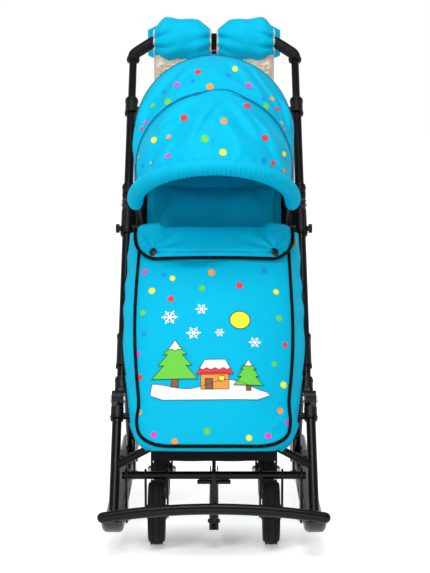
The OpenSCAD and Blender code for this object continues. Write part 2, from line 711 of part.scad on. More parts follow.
module rear_shoes() {
    base_z = runner_top + seat_gap;
    cheek_x = runner_w / 2 + 0.5;
    color([0.12, 0.12, 0.13]) both() translate([0, rear_foot_y, 0]) {
        translate([runner_x - cheek_x - shoe_cheek, -shoe_half, base_z])
            cube([2 * (cheek_x + shoe_cheek), 2 * shoe_half, shoe_floor]);
        for (x = [runner_x - cheek_x - shoe_cheek, runner_x + cheek_x])
            translate([x, -shoe_half, runner_z]) cube([shoe_cheek, 2 * shoe_half, base_z - runner_z + 1]);
        for (side = [-1, 1]) {
            x0 = upper_x + (side > 0 ? eye_half + seat_gap : -eye_half - seat_gap - 4);
            slab_x(x0, x0 + 4) {
                translate([0, foot_pivot_z]) circle(r = 10);
                polygon([[-20, base_z + 1], [20, base_z + 1], [9.5, foot_pivot_z], [-9.5, foot_pivot_z]]);
            }
        }
        translate([upper_x, 0, foot_pivot_z]) rod_x(pin_d, -eye_half - 6, eye_half + 6);
    }
}

// Handle: lower tubes on the flip joint, telescope collars with push buttons, and the sliding bow
module handle_feet() {
    color([0.12, 0.12, 0.13]) both() translate([upper_x, 0, 0]) on_line(flip_u)
        knuckle(upper_d, -disc_t, -pass_gap / 2, knuckle_len);
}
module flip_bolts() { color([0.6, 0.61, 0.63]) both() at(flip_at) pivot_pin(upper_x); }
handle_tube_end = collar_u - 2;
bow_bore = bow_d + 4 * run_gap;
module handle_tubes() {
    start = flip_u + knuckle_reach;
    color([0.09, 0.09, 0.1]) both() translate([upper_x, 0, 0]) on_line(start)
        pipe(upper_d, handle_tube_end - start, (upper_d - bow_bore) / 2);
}
// The latch housing is a tail on the inner side of the collar, and the button sits in its face
latch_len = 36;
latch_w = 16;
latch_out = 21;
button_d = 10;
button_u = collar_u - collar_len - 14;
button_len = 7.5;
button_travel = 3;
module collars() {
    low = collar_u - collar_len;
    color([0.11, 0.11, 0.12]) both() translate([upper_x, 0, 0]) on_line(0) difference() {
        union() {
            translate([0, 0, low]) cylinder(d = collar_d, h = collar_len);
            for (z = [low, collar_u - 8]) translate([0, 0, z]) cylinder(d = collar_d + 2, h = 5);
            translate([-latch_out, -latch_w / 2, low - latch_len]) cube([latch_out - 4, latch_w, latch_len + 16]);
        }
        translate([0, 0, low - latch_len - 1]) cylinder(d = upper_d + 2 * run_gap, h = handle_tube_end - low + latch_len + 1);
        translate([0, 0, low]) cylinder(d = bow_d + 2 * seat_gap, h = collar_len + 1);
        translate([0, 0, button_u]) rod_x(button_d + 4 * run_gap, -latch_out - 1, -upper_d / 2 - 1);
    }
}
module latch_button() {
    color([0.16, 0.16, 0.17]) translate([upper_x, 0, 0]) on_line(button_u) {
        rod_x(button_d, -latch_out - 1.5, -latch_out + button_len - 1.5);
        translate([-latch_out - 1.5, 0, 0]) sphere(d = 5);
    }
}
module latch_button_left() { mirror([1, 0, 0]) latch_button(); }
module latch_button_right() { latch_button(); }
bow_low_u = 860;
bow_end_u = bar_u - bow_corner_r;
bow_end_x = upper_x - bow_corner_r;
// A quarter turn from a leg of the bow into its bar
module bow_corner() {
    translate([bow_end_x, 0, bow_end_u]) rotate([90, 0, 0]) rotate_extrude(angle = 90, $fn = 128)
        translate([bow_corner_r, 0]) children();
}
module handle_bow() {
    color([0.09, 0.09, 0.1]) on_line(0) {
        both() {
            translate([upper_x, 0, bow_low_u]) pipe(bow_d, bow_end_u - bow_low_u, tube_wall);
            bow_corner() ring_2d(bow_d, tube_wall);
        }
        translate([0, 0, bar_u]) pipe_x(bow_d, -bow_end_x, bow_end_x, tube_wall);
    }
}
grip_leg = 34;
module grips() {
    wall = (grip_d - bow_d) / 2 - run_gap;
    color([0.05, 0.05, 0.055]) on_line(0) both() {
        translate([upper_x, 0, bow_end_u - grip_leg]) pipe(grip_d, grip_leg, wall);
        translate([upper_x, 0, bow_end_u - grip_leg]) pipe(grip_d + 3, 5, wall + 1.5);
        bow_corner() ring_2d(grip_d, wall);
    }
}
// Hand muffs: a padded sleeve over the bar, open at both ends, with a fleece panel down its back
muff_in_x = 8;
muff_wall = 14;
function ellipse(a, b, dy, n = 40) = [for (k = [0 : n - 1]) [a * cos(360 * k / n), dy + b * sin(360 * k / n)]];
module muff() {
    hole_h = muff_top + muff_h / 2 - muff_wall / 2 - 8;
    hole_top = bow_d / 2 + seat_gap;
    color([0.0, 0.72, 0.9]) translate([0, bar_at[0], bar_at[1]]) slab_x(muff_in_x, muff_end_x) difference() {
        union() {
            polygon(ellipse(muff_depth / 2, muff_h / 2, muff_top - muff_h / 2));
            polygon([[muff_depth / 2 - 12, -muff_drop], [muff_depth / 2 - 2, -muff_drop],
                     [muff_depth / 2, muff_top - muff_h / 2], [muff_depth / 2 - 18, -20]]);
        }
        polygon(ellipse(muff_depth / 2 - muff_wall, (muff_h - muff_top + hole_top - 6) / 2,
                        hole_top - (muff_h - muff_top + hole_top - 6) / 2));
    }
}
module muff_left() { mirror([1, 0, 0]) muff(); }
module muff_right() { muff(); }
strap_drop = 46;
module muff_strap() {
    half = muff_in_x - seat_gap;
    color([0.06, 0.06, 0.07]) translate([0, bar_at[0], bar_at[1]]) slab_x(-half, half) difference() {
        union() {
            circle(d = bow_d + 8);
            translate([-bow_d / 2 - 4, -strap_drop]) square([4, strap_drop]);
        }
        circle(d = bow_d + 2 * run_gap);
    }
}

// Canopy: three bows on one pivot, cloth between them, a back panel and a padded front roll.
// An arch has straight sides and a half-round top; s runs from -1 to 1 along it.
hoop_r0 = 10;
cloth_r0 = 34;
function arch_point(s, w, reach, r0) = let (
    side = reach - w - r0,
    half = side + 90 * w * PI / 180,
    run = half * (1 - abs(s)),
    turn = max(0, run - side) / (w * PI / 180),
    x = run < side ? w : w * cos(turn),
    r = run < side ? r0 + run : r0 + side + w * sin(turn))
    [s < 0 ? -x : x, r];
function in_canopy(x, r, angle) = [x, canopy_at[0] + r * cos(angle), canopy_at[1] + r * sin(angle)];
module at_hoop(angle) { at(canopy_at) rotate([angle - 90, 0, 0]) children(); }
eye_t = hoop_d - 1.2;
module hoop(w, reach, angle) {
    color([0.08, 0.08, 0.09]) at_hoop(angle) difference() {
        union() {
            both() translate([w, 0, 0]) cylinder(d = hoop_d, h = reach - w);
            both() rod_x(hoop_r0 * 2 + 2, w - eye_t / 2, w + eye_t / 2);
            translate([0, 0, reach - w]) rotate([90, 0, 0]) rotate_extrude(angle = 180, $fn = 180)
                translate([w, 0]) circle(d = hoop_d);
        }
        both() rod_x(pin_d + 2 * run_gap, w - hoop_d, w + hoop_d);
    }
}
module canopy_rear_hoop() { hoop(hoop_layer(0), rear_reach, rear_hoop_angle); }
module canopy_mid_hoop() { hoop(hoop_layer(1), mid_reach, mid_hoop_angle); }
module canopy_front_hoop() { hoop(hoop_layer(2), front_reach, front_hoop_angle); }
cloth_cols = 26;
cloth_rows = 8;
cloth_sag = 9;
// Cloth from one bow to the next, dipping between them; lift counts outwards from the bows.
// An edge is [half width, reach, angle, distance kept from that plane].
function off_plane(gap, r) = asin(min(1, gap / r));
function cloth_point(t, s, from, to, lift) = let (
    dip = cloth_sag * 4 * t * (1 - t),
    w = from[0] + (to[0] - from[0]) * t + lift,
    reach = from[1] + (to[1] - from[1]) * t + lift - dip,
    p = arch_point(s, w, reach, cloth_r0),
    a0 = from[2] + off_plane(from[3], p[1]),
    a1 = to[2] - off_plane(to[3], p[1]))
    in_canopy(p[0], p[1], a0 + (a1 - a0) * t);
function cloth_grid(from, to, lift) = [for (i = [0 : cloth_rows]) [for (j = [0 : cloth_cols])
    cloth_point(i / cloth_rows, span(j, cloth_cols), from, to, lift)]];
module cloth(from, to) { sheet(cloth_grid(from, to, cloth_t), cloth_grid(from, to, 0)); }
// The cloth's flat facets dip a little towards the round bows, so it lies a little off them
cloth_lift = hoop_d / 2 + 1.3;
seam_half = 0.4;
rear_edge = [hoop_layer(0) + cloth_lift, rear_reach + cloth_lift, rear_hoop_angle, seam_half];
mid_edge = [hoop_layer(1) + cloth_lift, mid_reach + cloth_lift, mid_hoop_angle, seam_half];
front_edge = [hoop_layer(2) + cloth_lift + 4, front_reach + cloth_lift, front_hoop_angle, roll_d / 2 + 1];
module canopy_rear_panel() { color([0.0, 0.72, 0.9]) cloth(rear_edge, mid_edge); }
module canopy_front_panel() { color([0.0, 0.72, 0.9]) cloth(mid_edge, front_edge); }
// The back panel drops from the rear bow and ends above the way of the backrest when the frame folds.
// It runs down steeply, so it is sewn to the back of the bow and not over it.
back_edge_in = 9;
back_edge_reach = 232;
back_edge_angle = 47;
back_seam_out = 0.5;
back_edge = [hoop_layer(0) - back_edge_in, back_edge_reach, back_edge_angle, 0];
back_seam = [hoop_layer(0) + back_seam_out, rear_reach + back_seam_out, rear_hoop_angle, hoop_d / 2 + pass_gap];
module canopy_back_panel() { color([0.0, 0.66, 0.84]) cloth(back_edge, back_seam); }
roll_rings = 30;
roll_sides = 10;
roll_tip_r = 112;
roll_out = 7;
function roll_scale(s) = 1 - 0.62 * pow(abs(s), 10);
module canopy_roll() {
    w = hoop_layer(2) + roll_out;
    rings = [for (i = [0 : roll_rings]) let (
        s = span(i, roll_rings),
        p = arch_point(s, w, front_reach + roll_out / 2, roll_tip_r),
        q = arch_point(s * 0.999, w, front_reach + roll_out / 2, roll_tip_r),
        d = q - p,
        n = s == 0 ? [0, 1] : [-d[1], d[0]] / norm(d) * (s < 0 ? 1 : -1),
        rad = roll_d / 2 * roll_scale(s))
        [for (k = [0 : roll_sides - 1]) let (
            a = -360 * k / roll_sides,
            out = p + n * rad * cos(a),
            base = in_canopy(out[0], out[1], front_hoop_angle))
            base + rad * sin(a) * [0, -sin(front_hoop_angle), cos(front_hoop_angle)]]];
    color([0.0, 0.74, 0.92]) swept(rings);
}

// Wheel frames: a swing shaft with fork plates and a lever, turning in the posts
fork_end_r = 12;
lever_t = 8;
lever_end_r = 11;
lever_dy = -lever_len * sin(lever_lean);
lever_dz = -lever_len * cos(lever_lean);
module swing_frame() {
    rod_x(swing_d, -swing_half, swing_half);
    both() for (x = [fork_in, fork_out]) difference() {
        slab_x(x, x + fork_t) {
            circle(r = swing_d / 2 + 5);
            translate([0, -fork_len]) circle(r = fork_end_r);
            polygon([[-swing_d / 2 - 5, 0], [swing_d / 2 + 5, 0], [fork_end_r, -fork_len], [-fork_end_r, -fork_len]]);
        }
        translate([0, 0, -fork_len]) rod_x(axle_d + 2 * run_gap, x - 1, x + fork_t + 1);
    }
    slab_x(-lever_t / 2, lever_t / 2) {
        circle(r = swing_d / 2 + 6);
        translate([lever_dy, lever_dz]) circle(r = lever_end_r);
        polygon([[-swing_d / 2 - 6, 0], [swing_d / 2 + 6, 0],
                 [lever_dy + lever_end_r * cos(lever_lean), lever_dz - lever_end_r * sin(lever_lean)],
                 [lever_dy - lever_end_r * cos(lever_lean), lever_dz + lever_end_r * sin(lever_lean)]]);
    }
    translate([0, lever_dy, lever_dz]) rod_x(pin_d, -link_w / 2 - 3, link_w / 2 + 3);
    both() translate([0, 0, -swing_d / 2 - 6]) rod_x(9, lever_t / 2, 34);
}
module front_wheel_frame() { color([0.08, 0.08, 0.09]) translate([0, front_axle_y, swing_z]) swing_frame(); }
module rear_wheel_frame() { color([0.08, 0.08, 0.09]) translate([0, rear_axle_y, swing_z]) swing_frame(); }
module axles(y) {
    color([0.62, 0.63, 0.65]) both() translate([0, y, axle_z]) {
        rod_x(axle_d, fork_in - 7, fork_out + fork_t + 7);
        rod_x(axle_d + 7, fork_in - 5, fork_in, $fn = 6);
        rod_x(axle_d + 7, fork_out + fork_t, fork_out + fork_t + 5, $fn = 6);
    }
}
module front_axles() { axles(front_axle_y); }
module rear_axles() { axles(rear_axle_y); }

// The link bar is a channel that joins both levers, with a foot pedal at its rear end
link_wall = 3;
link_floor = lever_end_r + 1;
link_front = 15;
link_rear = 66;
pedal_len = 44;
pedal_half = 34;
module wheel_link() {
    z = swing_z + lever_dz;
    y0 = front_axle_y + lever_dy - link_front;
    y1 = rear_axle_y + lever_dy + link_rear;
    color([0.08, 0.08, 0.09]) difference() {
        union() {
            translate([-link_w / 2, y0, z - link_floor - link_wall]) cube([link_w, y1 - y0, link_wall]);
            both() translate([link_w / 2 - link_wall, y0, z - link_floor - 1])
                cube([link_wall, y1 - y0, link_floor + 10]);
            translate([-pedal_half, y1 - pedal_len, z - link_floor - link_wall])
                cube([2 * pedal_half, pedal_len, link_wall]);
            for (k = [0 : 4]) translate([0, y1 - pedal_len + 6 + k * 8, z - link_floor])
                both() translate([link_w / 2, 0, -0.5]) cube([pedal_half - link_w / 2, 3, 2]);
        }
        translate([0, front_axle_y + lever_dy, z]) rod_x(pin_d + 2 * run_gap, -link_w, link_w);
        translate([0, rear_axle_y + lever_dy, z]) rod_x(pin_d + 2 * seat_gap, -link_w, link_w);
    }
}

// Wheels: a rubber tyre on a spoked plastic rim, turned about X
rim_r = 48;
hub_r = 15;
web_t = 8;
spoke_holes = 6;
module wheel_body() {
    rotate([0, 90, 0]) difference() {
        rotate_extrude($fn = 96) {
            difference() {
                union() {
                    translate([rim_r - 4, -tyre_w / 2 + 5]) square([wheel_r - rim_r - 1, tyre_w - 10]);
                    translate([rim_r - 4, -tyre_w / 2]) square([wheel_r - rim_r - 6, tyre_w]);
                    for (side = [-1, 1]) translate([wheel_r - 10, side * (tyre_w / 2 - 5)]) circle(r = 5);
                    translate([wheel_r - 12, -tyre_w / 2 + 5]) square([12, tyre_w - 10]);
                }
                for (side = [-1, 1]) translate([wheel_r, side * tyre_w / 5]) circle(r = 1.6, $fn = 24);
            }
            translate([axle_d / 2 + run_gap, -hub_half]) square([hub_r - axle_d / 2, 2 * hub_half]);
            translate([axle_d / 2 + run_gap, -web_t / 2]) square([rim_r - axle_d / 2, web_t]);
        }
        for (k = [0 : spoke_holes - 1]) rotate(k * 360 / spoke_holes)
            translate([(rim_r + hub_r) / 2, 0, -web_t]) cylinder(d = (rim_r - hub_r) * 0.62, h = 2 * web_t);
    }
}
module wheel(side, y) { color([0.06, 0.06, 0.065]) translate([side * wheel_x, y, axle_z]) wheel_body(); }
module wheel_front_left() { wheel(-1, front_axle_y); }
module wheel_front_right() { wheel(1, front_axle_y); }
module wheel_rear_left() { wheel(-1, rear_axle_y); }
module wheel_rear_right() { wheel(1, rear_axle_y); }

placed() {
    runner_left();
    runner_right();
    runner_end_caps();
    nose_bar();
    front_legs();
    fold_sockets();
    seat_front_bar();
    seat_rails();
    seat_rear_bar();
    front_posts();
    rear_posts();
    post_bolts();
    footrest_tube();
    foot_sling();
    seat_tub();
    seat_pad();
    apron();
    apron_flap();
    flap_snaps();
    backrest_board();
    backrest_pad();
    upper_tubes();
    fold_tongues();
    fold_pins();
    upper_heads();
    tube_sleeves();
    leg_lugs();
    backrest_bow();
    canopy_knobs();
    canopy_rear_hoop();
    canopy_rear_panel();
    canopy_back_panel();
    canopy_mid_hoop();
    canopy_front_panel();
    canopy_front_hoop();
    canopy_roll();
    rear_legs();
    rear_shoes();
    handle_feet();
    handle_tubes();
    flip_bolts();
    collars();
    latch_button_left();
    latch_button_right();
    handle_bow();
    grips();
    muff_left();
    muff_right();
    muff_strap();
    front_wheel_frame();
    rear_wheel_frame();
    front_axles();
    rear_axles();
    wheel_link();
    wheel_front_left();
    wheel_front_right();
    wheel_rear_left();
    wheel_rear_right();
}
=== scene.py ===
"""Looks of the sled stroller: cloth, padding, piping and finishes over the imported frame, in metres."""

import json
import math

import bmesh
import bpy
import numpy as np
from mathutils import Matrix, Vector, noise
from mathutils.bvhtree import BVHTree


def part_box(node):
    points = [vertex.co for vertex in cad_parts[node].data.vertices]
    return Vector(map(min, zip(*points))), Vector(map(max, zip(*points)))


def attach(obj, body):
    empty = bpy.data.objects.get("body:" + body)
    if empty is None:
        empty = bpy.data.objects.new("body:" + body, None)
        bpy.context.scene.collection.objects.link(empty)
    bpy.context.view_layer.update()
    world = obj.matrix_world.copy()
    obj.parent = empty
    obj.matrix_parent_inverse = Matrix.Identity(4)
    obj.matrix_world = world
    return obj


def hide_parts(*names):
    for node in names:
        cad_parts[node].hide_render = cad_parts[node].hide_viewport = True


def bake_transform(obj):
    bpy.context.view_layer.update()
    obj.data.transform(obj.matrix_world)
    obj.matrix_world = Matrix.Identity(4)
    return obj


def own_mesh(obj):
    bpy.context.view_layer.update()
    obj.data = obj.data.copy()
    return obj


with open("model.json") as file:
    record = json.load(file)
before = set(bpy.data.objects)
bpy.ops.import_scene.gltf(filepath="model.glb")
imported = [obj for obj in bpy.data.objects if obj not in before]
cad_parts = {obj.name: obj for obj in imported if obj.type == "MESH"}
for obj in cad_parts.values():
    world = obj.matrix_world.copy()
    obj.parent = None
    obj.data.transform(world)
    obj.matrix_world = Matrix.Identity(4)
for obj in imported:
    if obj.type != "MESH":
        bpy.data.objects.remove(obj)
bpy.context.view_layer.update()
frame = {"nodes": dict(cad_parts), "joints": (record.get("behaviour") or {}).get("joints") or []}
NODES = frame["nodes"]
JOINTS = {joint["name"]: joint for joint in frame["joints"]}
MM = 0.001
SIDES = ((-1, "left"), (1, "right"))

# The frame line runs through the folding joint and the handle pivot; u counts along it, v forwards off it
FOLD = np.array(JOINTS["frame_fold"]["pos_m"])
FLIP = np.array(JOINTS["handle_flip"]["pos_m"])
CANOPY = np.array(JOINTS["canopy_mid_fold"]["pos_m"])
LINE = (FLIP - FOLD) / np.linalg.norm(FLIP - FOLD)
NORMAL = np.array([0.0, -LINE[2], LINE[1]])
FOLD_U = 238 * MM
NOSE_BAR_R = 11 * MM
NOSE_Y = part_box("nose_bar")[0].y + NOSE_BAR_R

# The camera of the photograph: its frame in pixels, focal length in pixels, tilt, height and distance
PHOTO_W, PHOTO_H = 430, 573
FOCAL_PX = 1744
TILT = math.radians(8.38)
CAMERA_HEIGHT, CAMERA_BACK, CAMERA_X = 1.040, 3.311, 0.0022
CAMERA_AT = Vector((CAMERA_X, NOSE_Y - CAMERA_BACK, CAMERA_HEIGHT))
SENSOR = 36.0


def srgb(red, green, blue):
    """A colour given as 0 to 255 in the picture's encoding, as the linear colour that shaders take."""
    parts = [c / 255 for c in (red, green, blue)]
    return tuple(c / 12.92 if c <= 0.04 else ((c + 0.055) / 1.055) ** 2.4 for c in parts) + (1.0,)


CYAN = srgb(0, 190, 230)
# The same cyan cloth made a little darker, as painted shade for the pieces inside the hood
CYAN_SHADED = srgb(0, 186, 224)
DOTS = {
    "red": srgb(246, 62, 68), "orange": srgb(252, 160, 76), "yellow": srgb(252, 246, 60),
    "green": srgb(112, 212, 72), "blue": srgb(14, 148, 246), "pink": srgb(246, 68, 192),
}
BLACK = srgb(9, 9, 10)
FLEECE = srgb(255, 228, 205)


# Materials

WEAVE_SCALE, WEAVE_WAVER = 420.0, 0.6
ROUGHNESS_SPREAD, SHEEN_ROUGHNESS, BUMP_STRENGTH = 0.08, 0.4, 0.5


def add_node(tree, kind, inputs=(), **settings):
    """A shader node with its settings, and its constant inputs by name or number."""
    made = tree.nodes.new("ShaderNode" + kind)
    for name, value in settings.items():
        setattr(made, name, value)
    for socket, value in dict(inputs).items():
        made.inputs[socket].default_value = value
    return made


def finish(name, colour, roughness, mottle, mottle_scale=14.0, weave=0.0, grain=0.0, grain_scale=900.0,
           sheen=0.0, metallic=0.0, specular=0.5):
    """A procedural finish: mottled colour and roughness, with a thread weave or a fine grain as bump."""
    made = bpy.data.materials.new(name)
    made.use_nodes = True
    tree = made.node_tree
    link = tree.links.new
    shader = tree.nodes["Principled BSDF"]
    for socket, value in (("Metallic", metallic), ("Specular IOR Level", specular), ("Sheen Weight", sheen),
                          ("Sheen Roughness", SHEEN_ROUGHNESS)):
        shader.inputs[socket].default_value = value
    place = add_node(tree, "TexCoord").outputs["Object"]
    cloud = add_node(tree, "TexNoise", {"Scale": mottle_scale, "Detail": 5.0})
    link(place, cloud.inputs["Vector"])
    dark = tuple(c * (1 - mottle) for c in colour[:3]) + (1.0,)
    light = tuple(min(1.0, c * (1 + mottle)) for c in colour[:3]) + (1.0,)
    tint = add_node(tree, "Mix", {"A": dark, "B": light}, data_type="RGBA")
    link(cloud.outputs["Fac"], tint.inputs["Factor"])
    link(tint.outputs["Result"], shader.inputs["Base Color"])
    rough = add_node(tree, "MapRange", {"To Min": max(0.05, roughness - ROUGHNESS_SPREAD),
                                        "To Max": min(1.0, roughness + ROUGHNESS_SPREAD)})
    link(cloud.outputs["Fac"], rough.inputs["Value"])
    link(rough.outputs["Result"], shader.inputs["Roughness"])
    heights = []
    for direction in "XZY" if weave > 0 else "":
        thread = {"Scale": WEAVE_SCALE, "Distortion": WEAVE_WAVER}
        heights.append((add_node(tree, "TexWave", thread, bands_direction=direction), weave))
    if grain > 0:
        heights.append((add_node(tree, "TexNoise", {"Scale": grain_scale, "Detail": 2.0}), grain))
    last = None
    for pattern, depth in heights:
        link(place, pattern.inputs["Vector"])
        bump = add_node(tree, "Bump", {"Strength": BUMP_STRENGTH, "Distance": depth})
        link(pattern.outputs["Fac"], bump.inputs["Height"])
        if last is not None:
            link(last, bump.inputs["Normal"])
        last = bump.outputs["Normal"]
    if last is not None:
        link(last, shader.inputs["Normal"])
    return made


CLOTH = finish("cyan_cloth", CYAN, 0.6, 0.05, 9.0, weave=0.10 * MM, specular=0.08)
# Painted shade: the cyan cloth a little darker, for the seat tub, pads and backrest board
SHADED_CYAN = finish("cyan_cloth_shaded", CYAN_SHADED, 0.75, 0.08, 12.0, weave=0.12 * MM, specular=0.1)
DARK_CLOTH = finish("black_cloth", srgb(20, 20, 22), 0.8, 0.15, 20.0, weave=0.2 * MM, specular=0.12)
PIPING = finish("black_piping", BLACK, 0.6, 0.1, 30.0, weave=0.1 * MM, specular=0.1)
# Dark teal of the stitches, also used for a line of painted shade along the mid seam
THREAD_AND_SEAM_SHADE = finish("cyan_thread_and_seam_shade", srgb(0, 120, 160), 0.7, 0.1, 60.0, grain=0.1 * MM, specular=0.2)
PILE = finish("beige_fleece", FLEECE, 0.95, 0.10, 160.0, grain=0.8 * MM, grain_scale=420.0, sheen=0.3,
              specular=0.2)
TRIM = finish("grey_trim", srgb(214, 205, 200), 0.85, 0.06, 80.0, grain=0.3 * MM, grain_scale=500.0,
              sheen=0.2)
PAINT = finish("black_paint", BLACK, 0.28, 0.12, 25.0, grain=0.03 * MM, grain_scale=1400.0, specular=0.18)
PLASTIC = finish("black_plastic", srgb(12, 12, 13), 0.42, 0.1, 30.0, grain=0.08 * MM, grain_scale=1800.0,
                 specular=0.25)
GLOSS = finish("black_gloss", BLACK, 0.2, 0.1, 30.0, grain=0.02 * MM, grain_scale=1800.0)
RUBBER = finish("black_rubber", srgb(13, 13, 14), 0.62, 0.12, 40.0, grain=0.12 * MM, grain_scale=1500.0,
                specular=0.22)
STEEL = finish("zinc_steel", srgb(190, 192, 196), 0.3, 0.08, 60.0, grain=0.03 * MM, metallic=1.0)
BRASS = finish("brass", srgb(196, 160, 110), 0.35, 0.08, 90.0, grain=0.03 * MM, metallic=1.0)
PRINT = {name: finish("dot_" + name, colour, 0.6, 0.03, 30.0, weave=0.10 * MM, specular=0.2)
         for name, colour in DOTS.items()}
PRINT["white"] = finish("print_white", srgb(246, 247, 248), 0.6, 0.03, 30.0, weave=0.10 * MM, sheen=0.1)
PRINT["black"] = finish("print_black", srgb(20, 20, 22), 0.6, 0.05, 30.0, weave=0.10 * MM)
PRINT["brown"] = finish("print_brown", srgb(140, 84, 50), 0.6, 0.05, 30.0, weave=0.10 * MM)


# Mesh helpers

def dress(piece, body=None, node=None):
    """Gives a piece the body that it rides on, and hides the solid that it stands for."""
    if node is not None:
        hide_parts(node)
    if body is not None:
        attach(piece, body)
    return piece


def points_of(piece):
    return np.array([v.co for v in piece.data.vertices])


def set_points(piece, points):
    piece.data.vertices.foreach_set("co", points.ravel())
    piece.data.update()


def crossed(rows, cols):
    """Two grids: the first values down the rows, the second along the columns."""
    return np.meshgrid(rows, cols, indexing="ij")


def unit(vectors):
    """Vectors of a grid or a row, each made one long."""
    return vectors / np.maximum(np.linalg.norm(vectors, axis=-1, keepdims=True), 1e-12)


def mesh_object(name, points, faces, material, smooth=True):
    mesh = bpy.data.meshes.new(name)
    mesh.from_pydata([tuple(p) for p in points], [], faces)
    mesh.update()
    for polygon in mesh.polygons:
        polygon.use_smooth = smooth
    mesh.materials.append(material)
    made = bpy.data.objects.new(name, mesh)
    bpy.context.scene.collection.objects.link(made)
    return made


def grid_faces(rows, cols, wrap=False):
    width = cols if wrap else cols - 1
    return [(i * cols + j, i * cols + (j + 1) % cols, (i + 1) * cols + (j + 1) % cols, (i + 1) * cols + j)
            for i in range(rows - 1) for j in range(width)]


def grid_object(name, grid, material, wrap=False, flip=False):
    faces = grid_faces(*grid.shape[:2], wrap)
    if flip:
        faces = [face[::-1] for face in faces]
    return mesh_object(name, grid.reshape(-1, 3), faces, material)


def settle(piece):
    """Applies a piece's modifiers, so that what is kept is plain mesh."""
    bpy.context.view_layer.update()
    shown = piece.evaluated_get(bpy.context.evaluated_depsgraph_get())
    done = bpy.data.meshes.new_from_object(shown)
    piece.modifiers.clear()
    piece.data = done
    for polygon in done.polygons:
        polygon.use_smooth = True
    return piece


def thicken(piece, depth, offset=0.0):
    """Gives a sheet its thickness: half on either side, or all behind its normals with an offset of -1."""
    solid = piece.modifiers.new("thickness", "SOLIDIFY")
    solid.thickness = depth
    solid.offset = offset
    solid.use_even_offset = True
    return settle(piece)


def normals_of(grid):
    """Unit normals of a grid of points, from its differences down the rows and along the columns."""
    return unit(np.cross(np.gradient(grid, axis=1), np.gradient(grid, axis=0)))


def tube(name, path, radius, material, sides=10, closed=False, flatten=1.0, up=(0.0, 0.0, 1.0)):
    """A round or flattened tube along a path; radius is one value or one for each point."""
    path = np.asarray(path, float)
    count = len(path)
    radius = np.broadcast_to(np.asarray(radius, float), (count,))
    if closed:
        tangent = np.roll(path, -1, axis=0) - np.roll(path, 1, axis=0)
    else:
        tangent = np.gradient(path, axis=0)
    tangent = unit(tangent)
    side = np.cross(tangent[0], up)
    if np.linalg.norm(side) < 1e-3:
        side = np.cross(tangent[0], (0.0, 1.0, 0.0))
    angles = np.linspace(0, 2 * math.pi, sides, endpoint=False)
    rings = []
    for k in range(count):
        side = unit(side - tangent[k] * np.dot(side, tangent[k]))
        other = np.cross(tangent[k], side)
        rings.append(path[k] + radius[k] * (np.outer(np.cos(angles), side)
                                            + flatten * np.outer(np.sin(angles), other)))
    points = np.array(rings).reshape(-1, 3)
    faces = grid_faces(count, sides, wrap=True)
    last = (count - 1) * sides
    if closed:
        faces += [(last + j, last + (j + 1) % sides, (j + 1) % sides, j) for j in range(sides)]
    else:
        faces += [tuple(range(sides))[::-1], tuple(last + j for j in range(sides))]
    return mesh_object(name, points, faces, material)


def join(name, pieces):
    """Joins pieces into one object, keeping each one's materials."""
    points, faces, slots, materials = [], [], [], []
    for piece in pieces:
        base = len(points)
        points += [tuple(piece.matrix_world @ v.co) for v in piece.data.vertices]
        index = []
        for material in piece.data.materials:
            if material not in materials:
                materials.append(material)
            index.append(materials.index(material))
        for polygon in piece.data.polygons:
            faces.append(tuple(base + v for v in polygon.vertices))
            slots.append(index[polygon.material_index])
    for piece in pieces:
        mesh = piece.data
        bpy.data.objects.remove(piece)
        bpy.data.meshes.remove(mesh)
    made = mesh_object(name, points, faces, materials[0])
    for material in materials[1:]:
        made.data.materials.append(material)
    made.data.polygons.foreach_set("material_index", slots)
    return made


def steps_along(path):
    """Distance run to each point of a path."""
    return np.concatenate([[0], np.cumsum(np.linalg.norm(np.diff(path, axis=0), axis=1))])


def even_path(corners, count):
    """A path through corner points, in even steps."""
    path = np.array(corners, float)
    steps = steps_along(path)
    even = np.linspace(0, steps[-1], count)
    return np.stack([np.interp(even, steps, path[:, k]) for k in range(path.shape[1])], axis=1)


def smooth_path(corners, count):
    """An even path through corner points, rounded by repeated corner cutting."""
    path = np.array(corners, float)
    for _ in range(4):
        cut = [path[0]]
        for a, b in zip(path[:-1], path[1:]):
            cut += [0.75 * a + 0.25 * b, 0.25 * a + 0.75 * b]
        path = np.array(cut + [path[-1]])
    return even_path(path, count)


def on_line(u, v):
    """Points in the middle plane: u along the frame line, v forwards off it."""
    u, v = np.broadcast_arrays(np.asarray(u, float), np.asarray(v, float))
    return FOLD + (u[..., None] - FOLD_U) * LINE + v[..., None] * NORMAL


# Printed dots, laid on a surface by rays

DOT_STRETCH, DOT_LIFT = 1.75, 0.5 * MM
DOT_RINGS, DOT_SIDES = (0.25, 0.5, 0.75, 1.0), 22
DOT_UP, DOT_EYE = Vector((0.1, 0.3, 1.0)), 60 * MM
STEEPEST = 0.1


def surface_tree(piece):
    return BVHTree.FromPolygons([v.co for v in piece.data.vertices],
                                [tuple(p.vertices) for p in piece.data.polygons])


def photo_ray(px, py):
    """The direction in which the photograph's camera sees a pixel."""
    right, up = px - PHOTO_W / 2, PHOTO_H / 2 - py
    forward = Vector((0, math.cos(TILT), -math.sin(TILT)))
    above = Vector((0, math.sin(TILT), math.cos(TILT)))
    return (forward * FOCAL_PX + above * up + Vector((1, 0, 0)) * right).normalized()


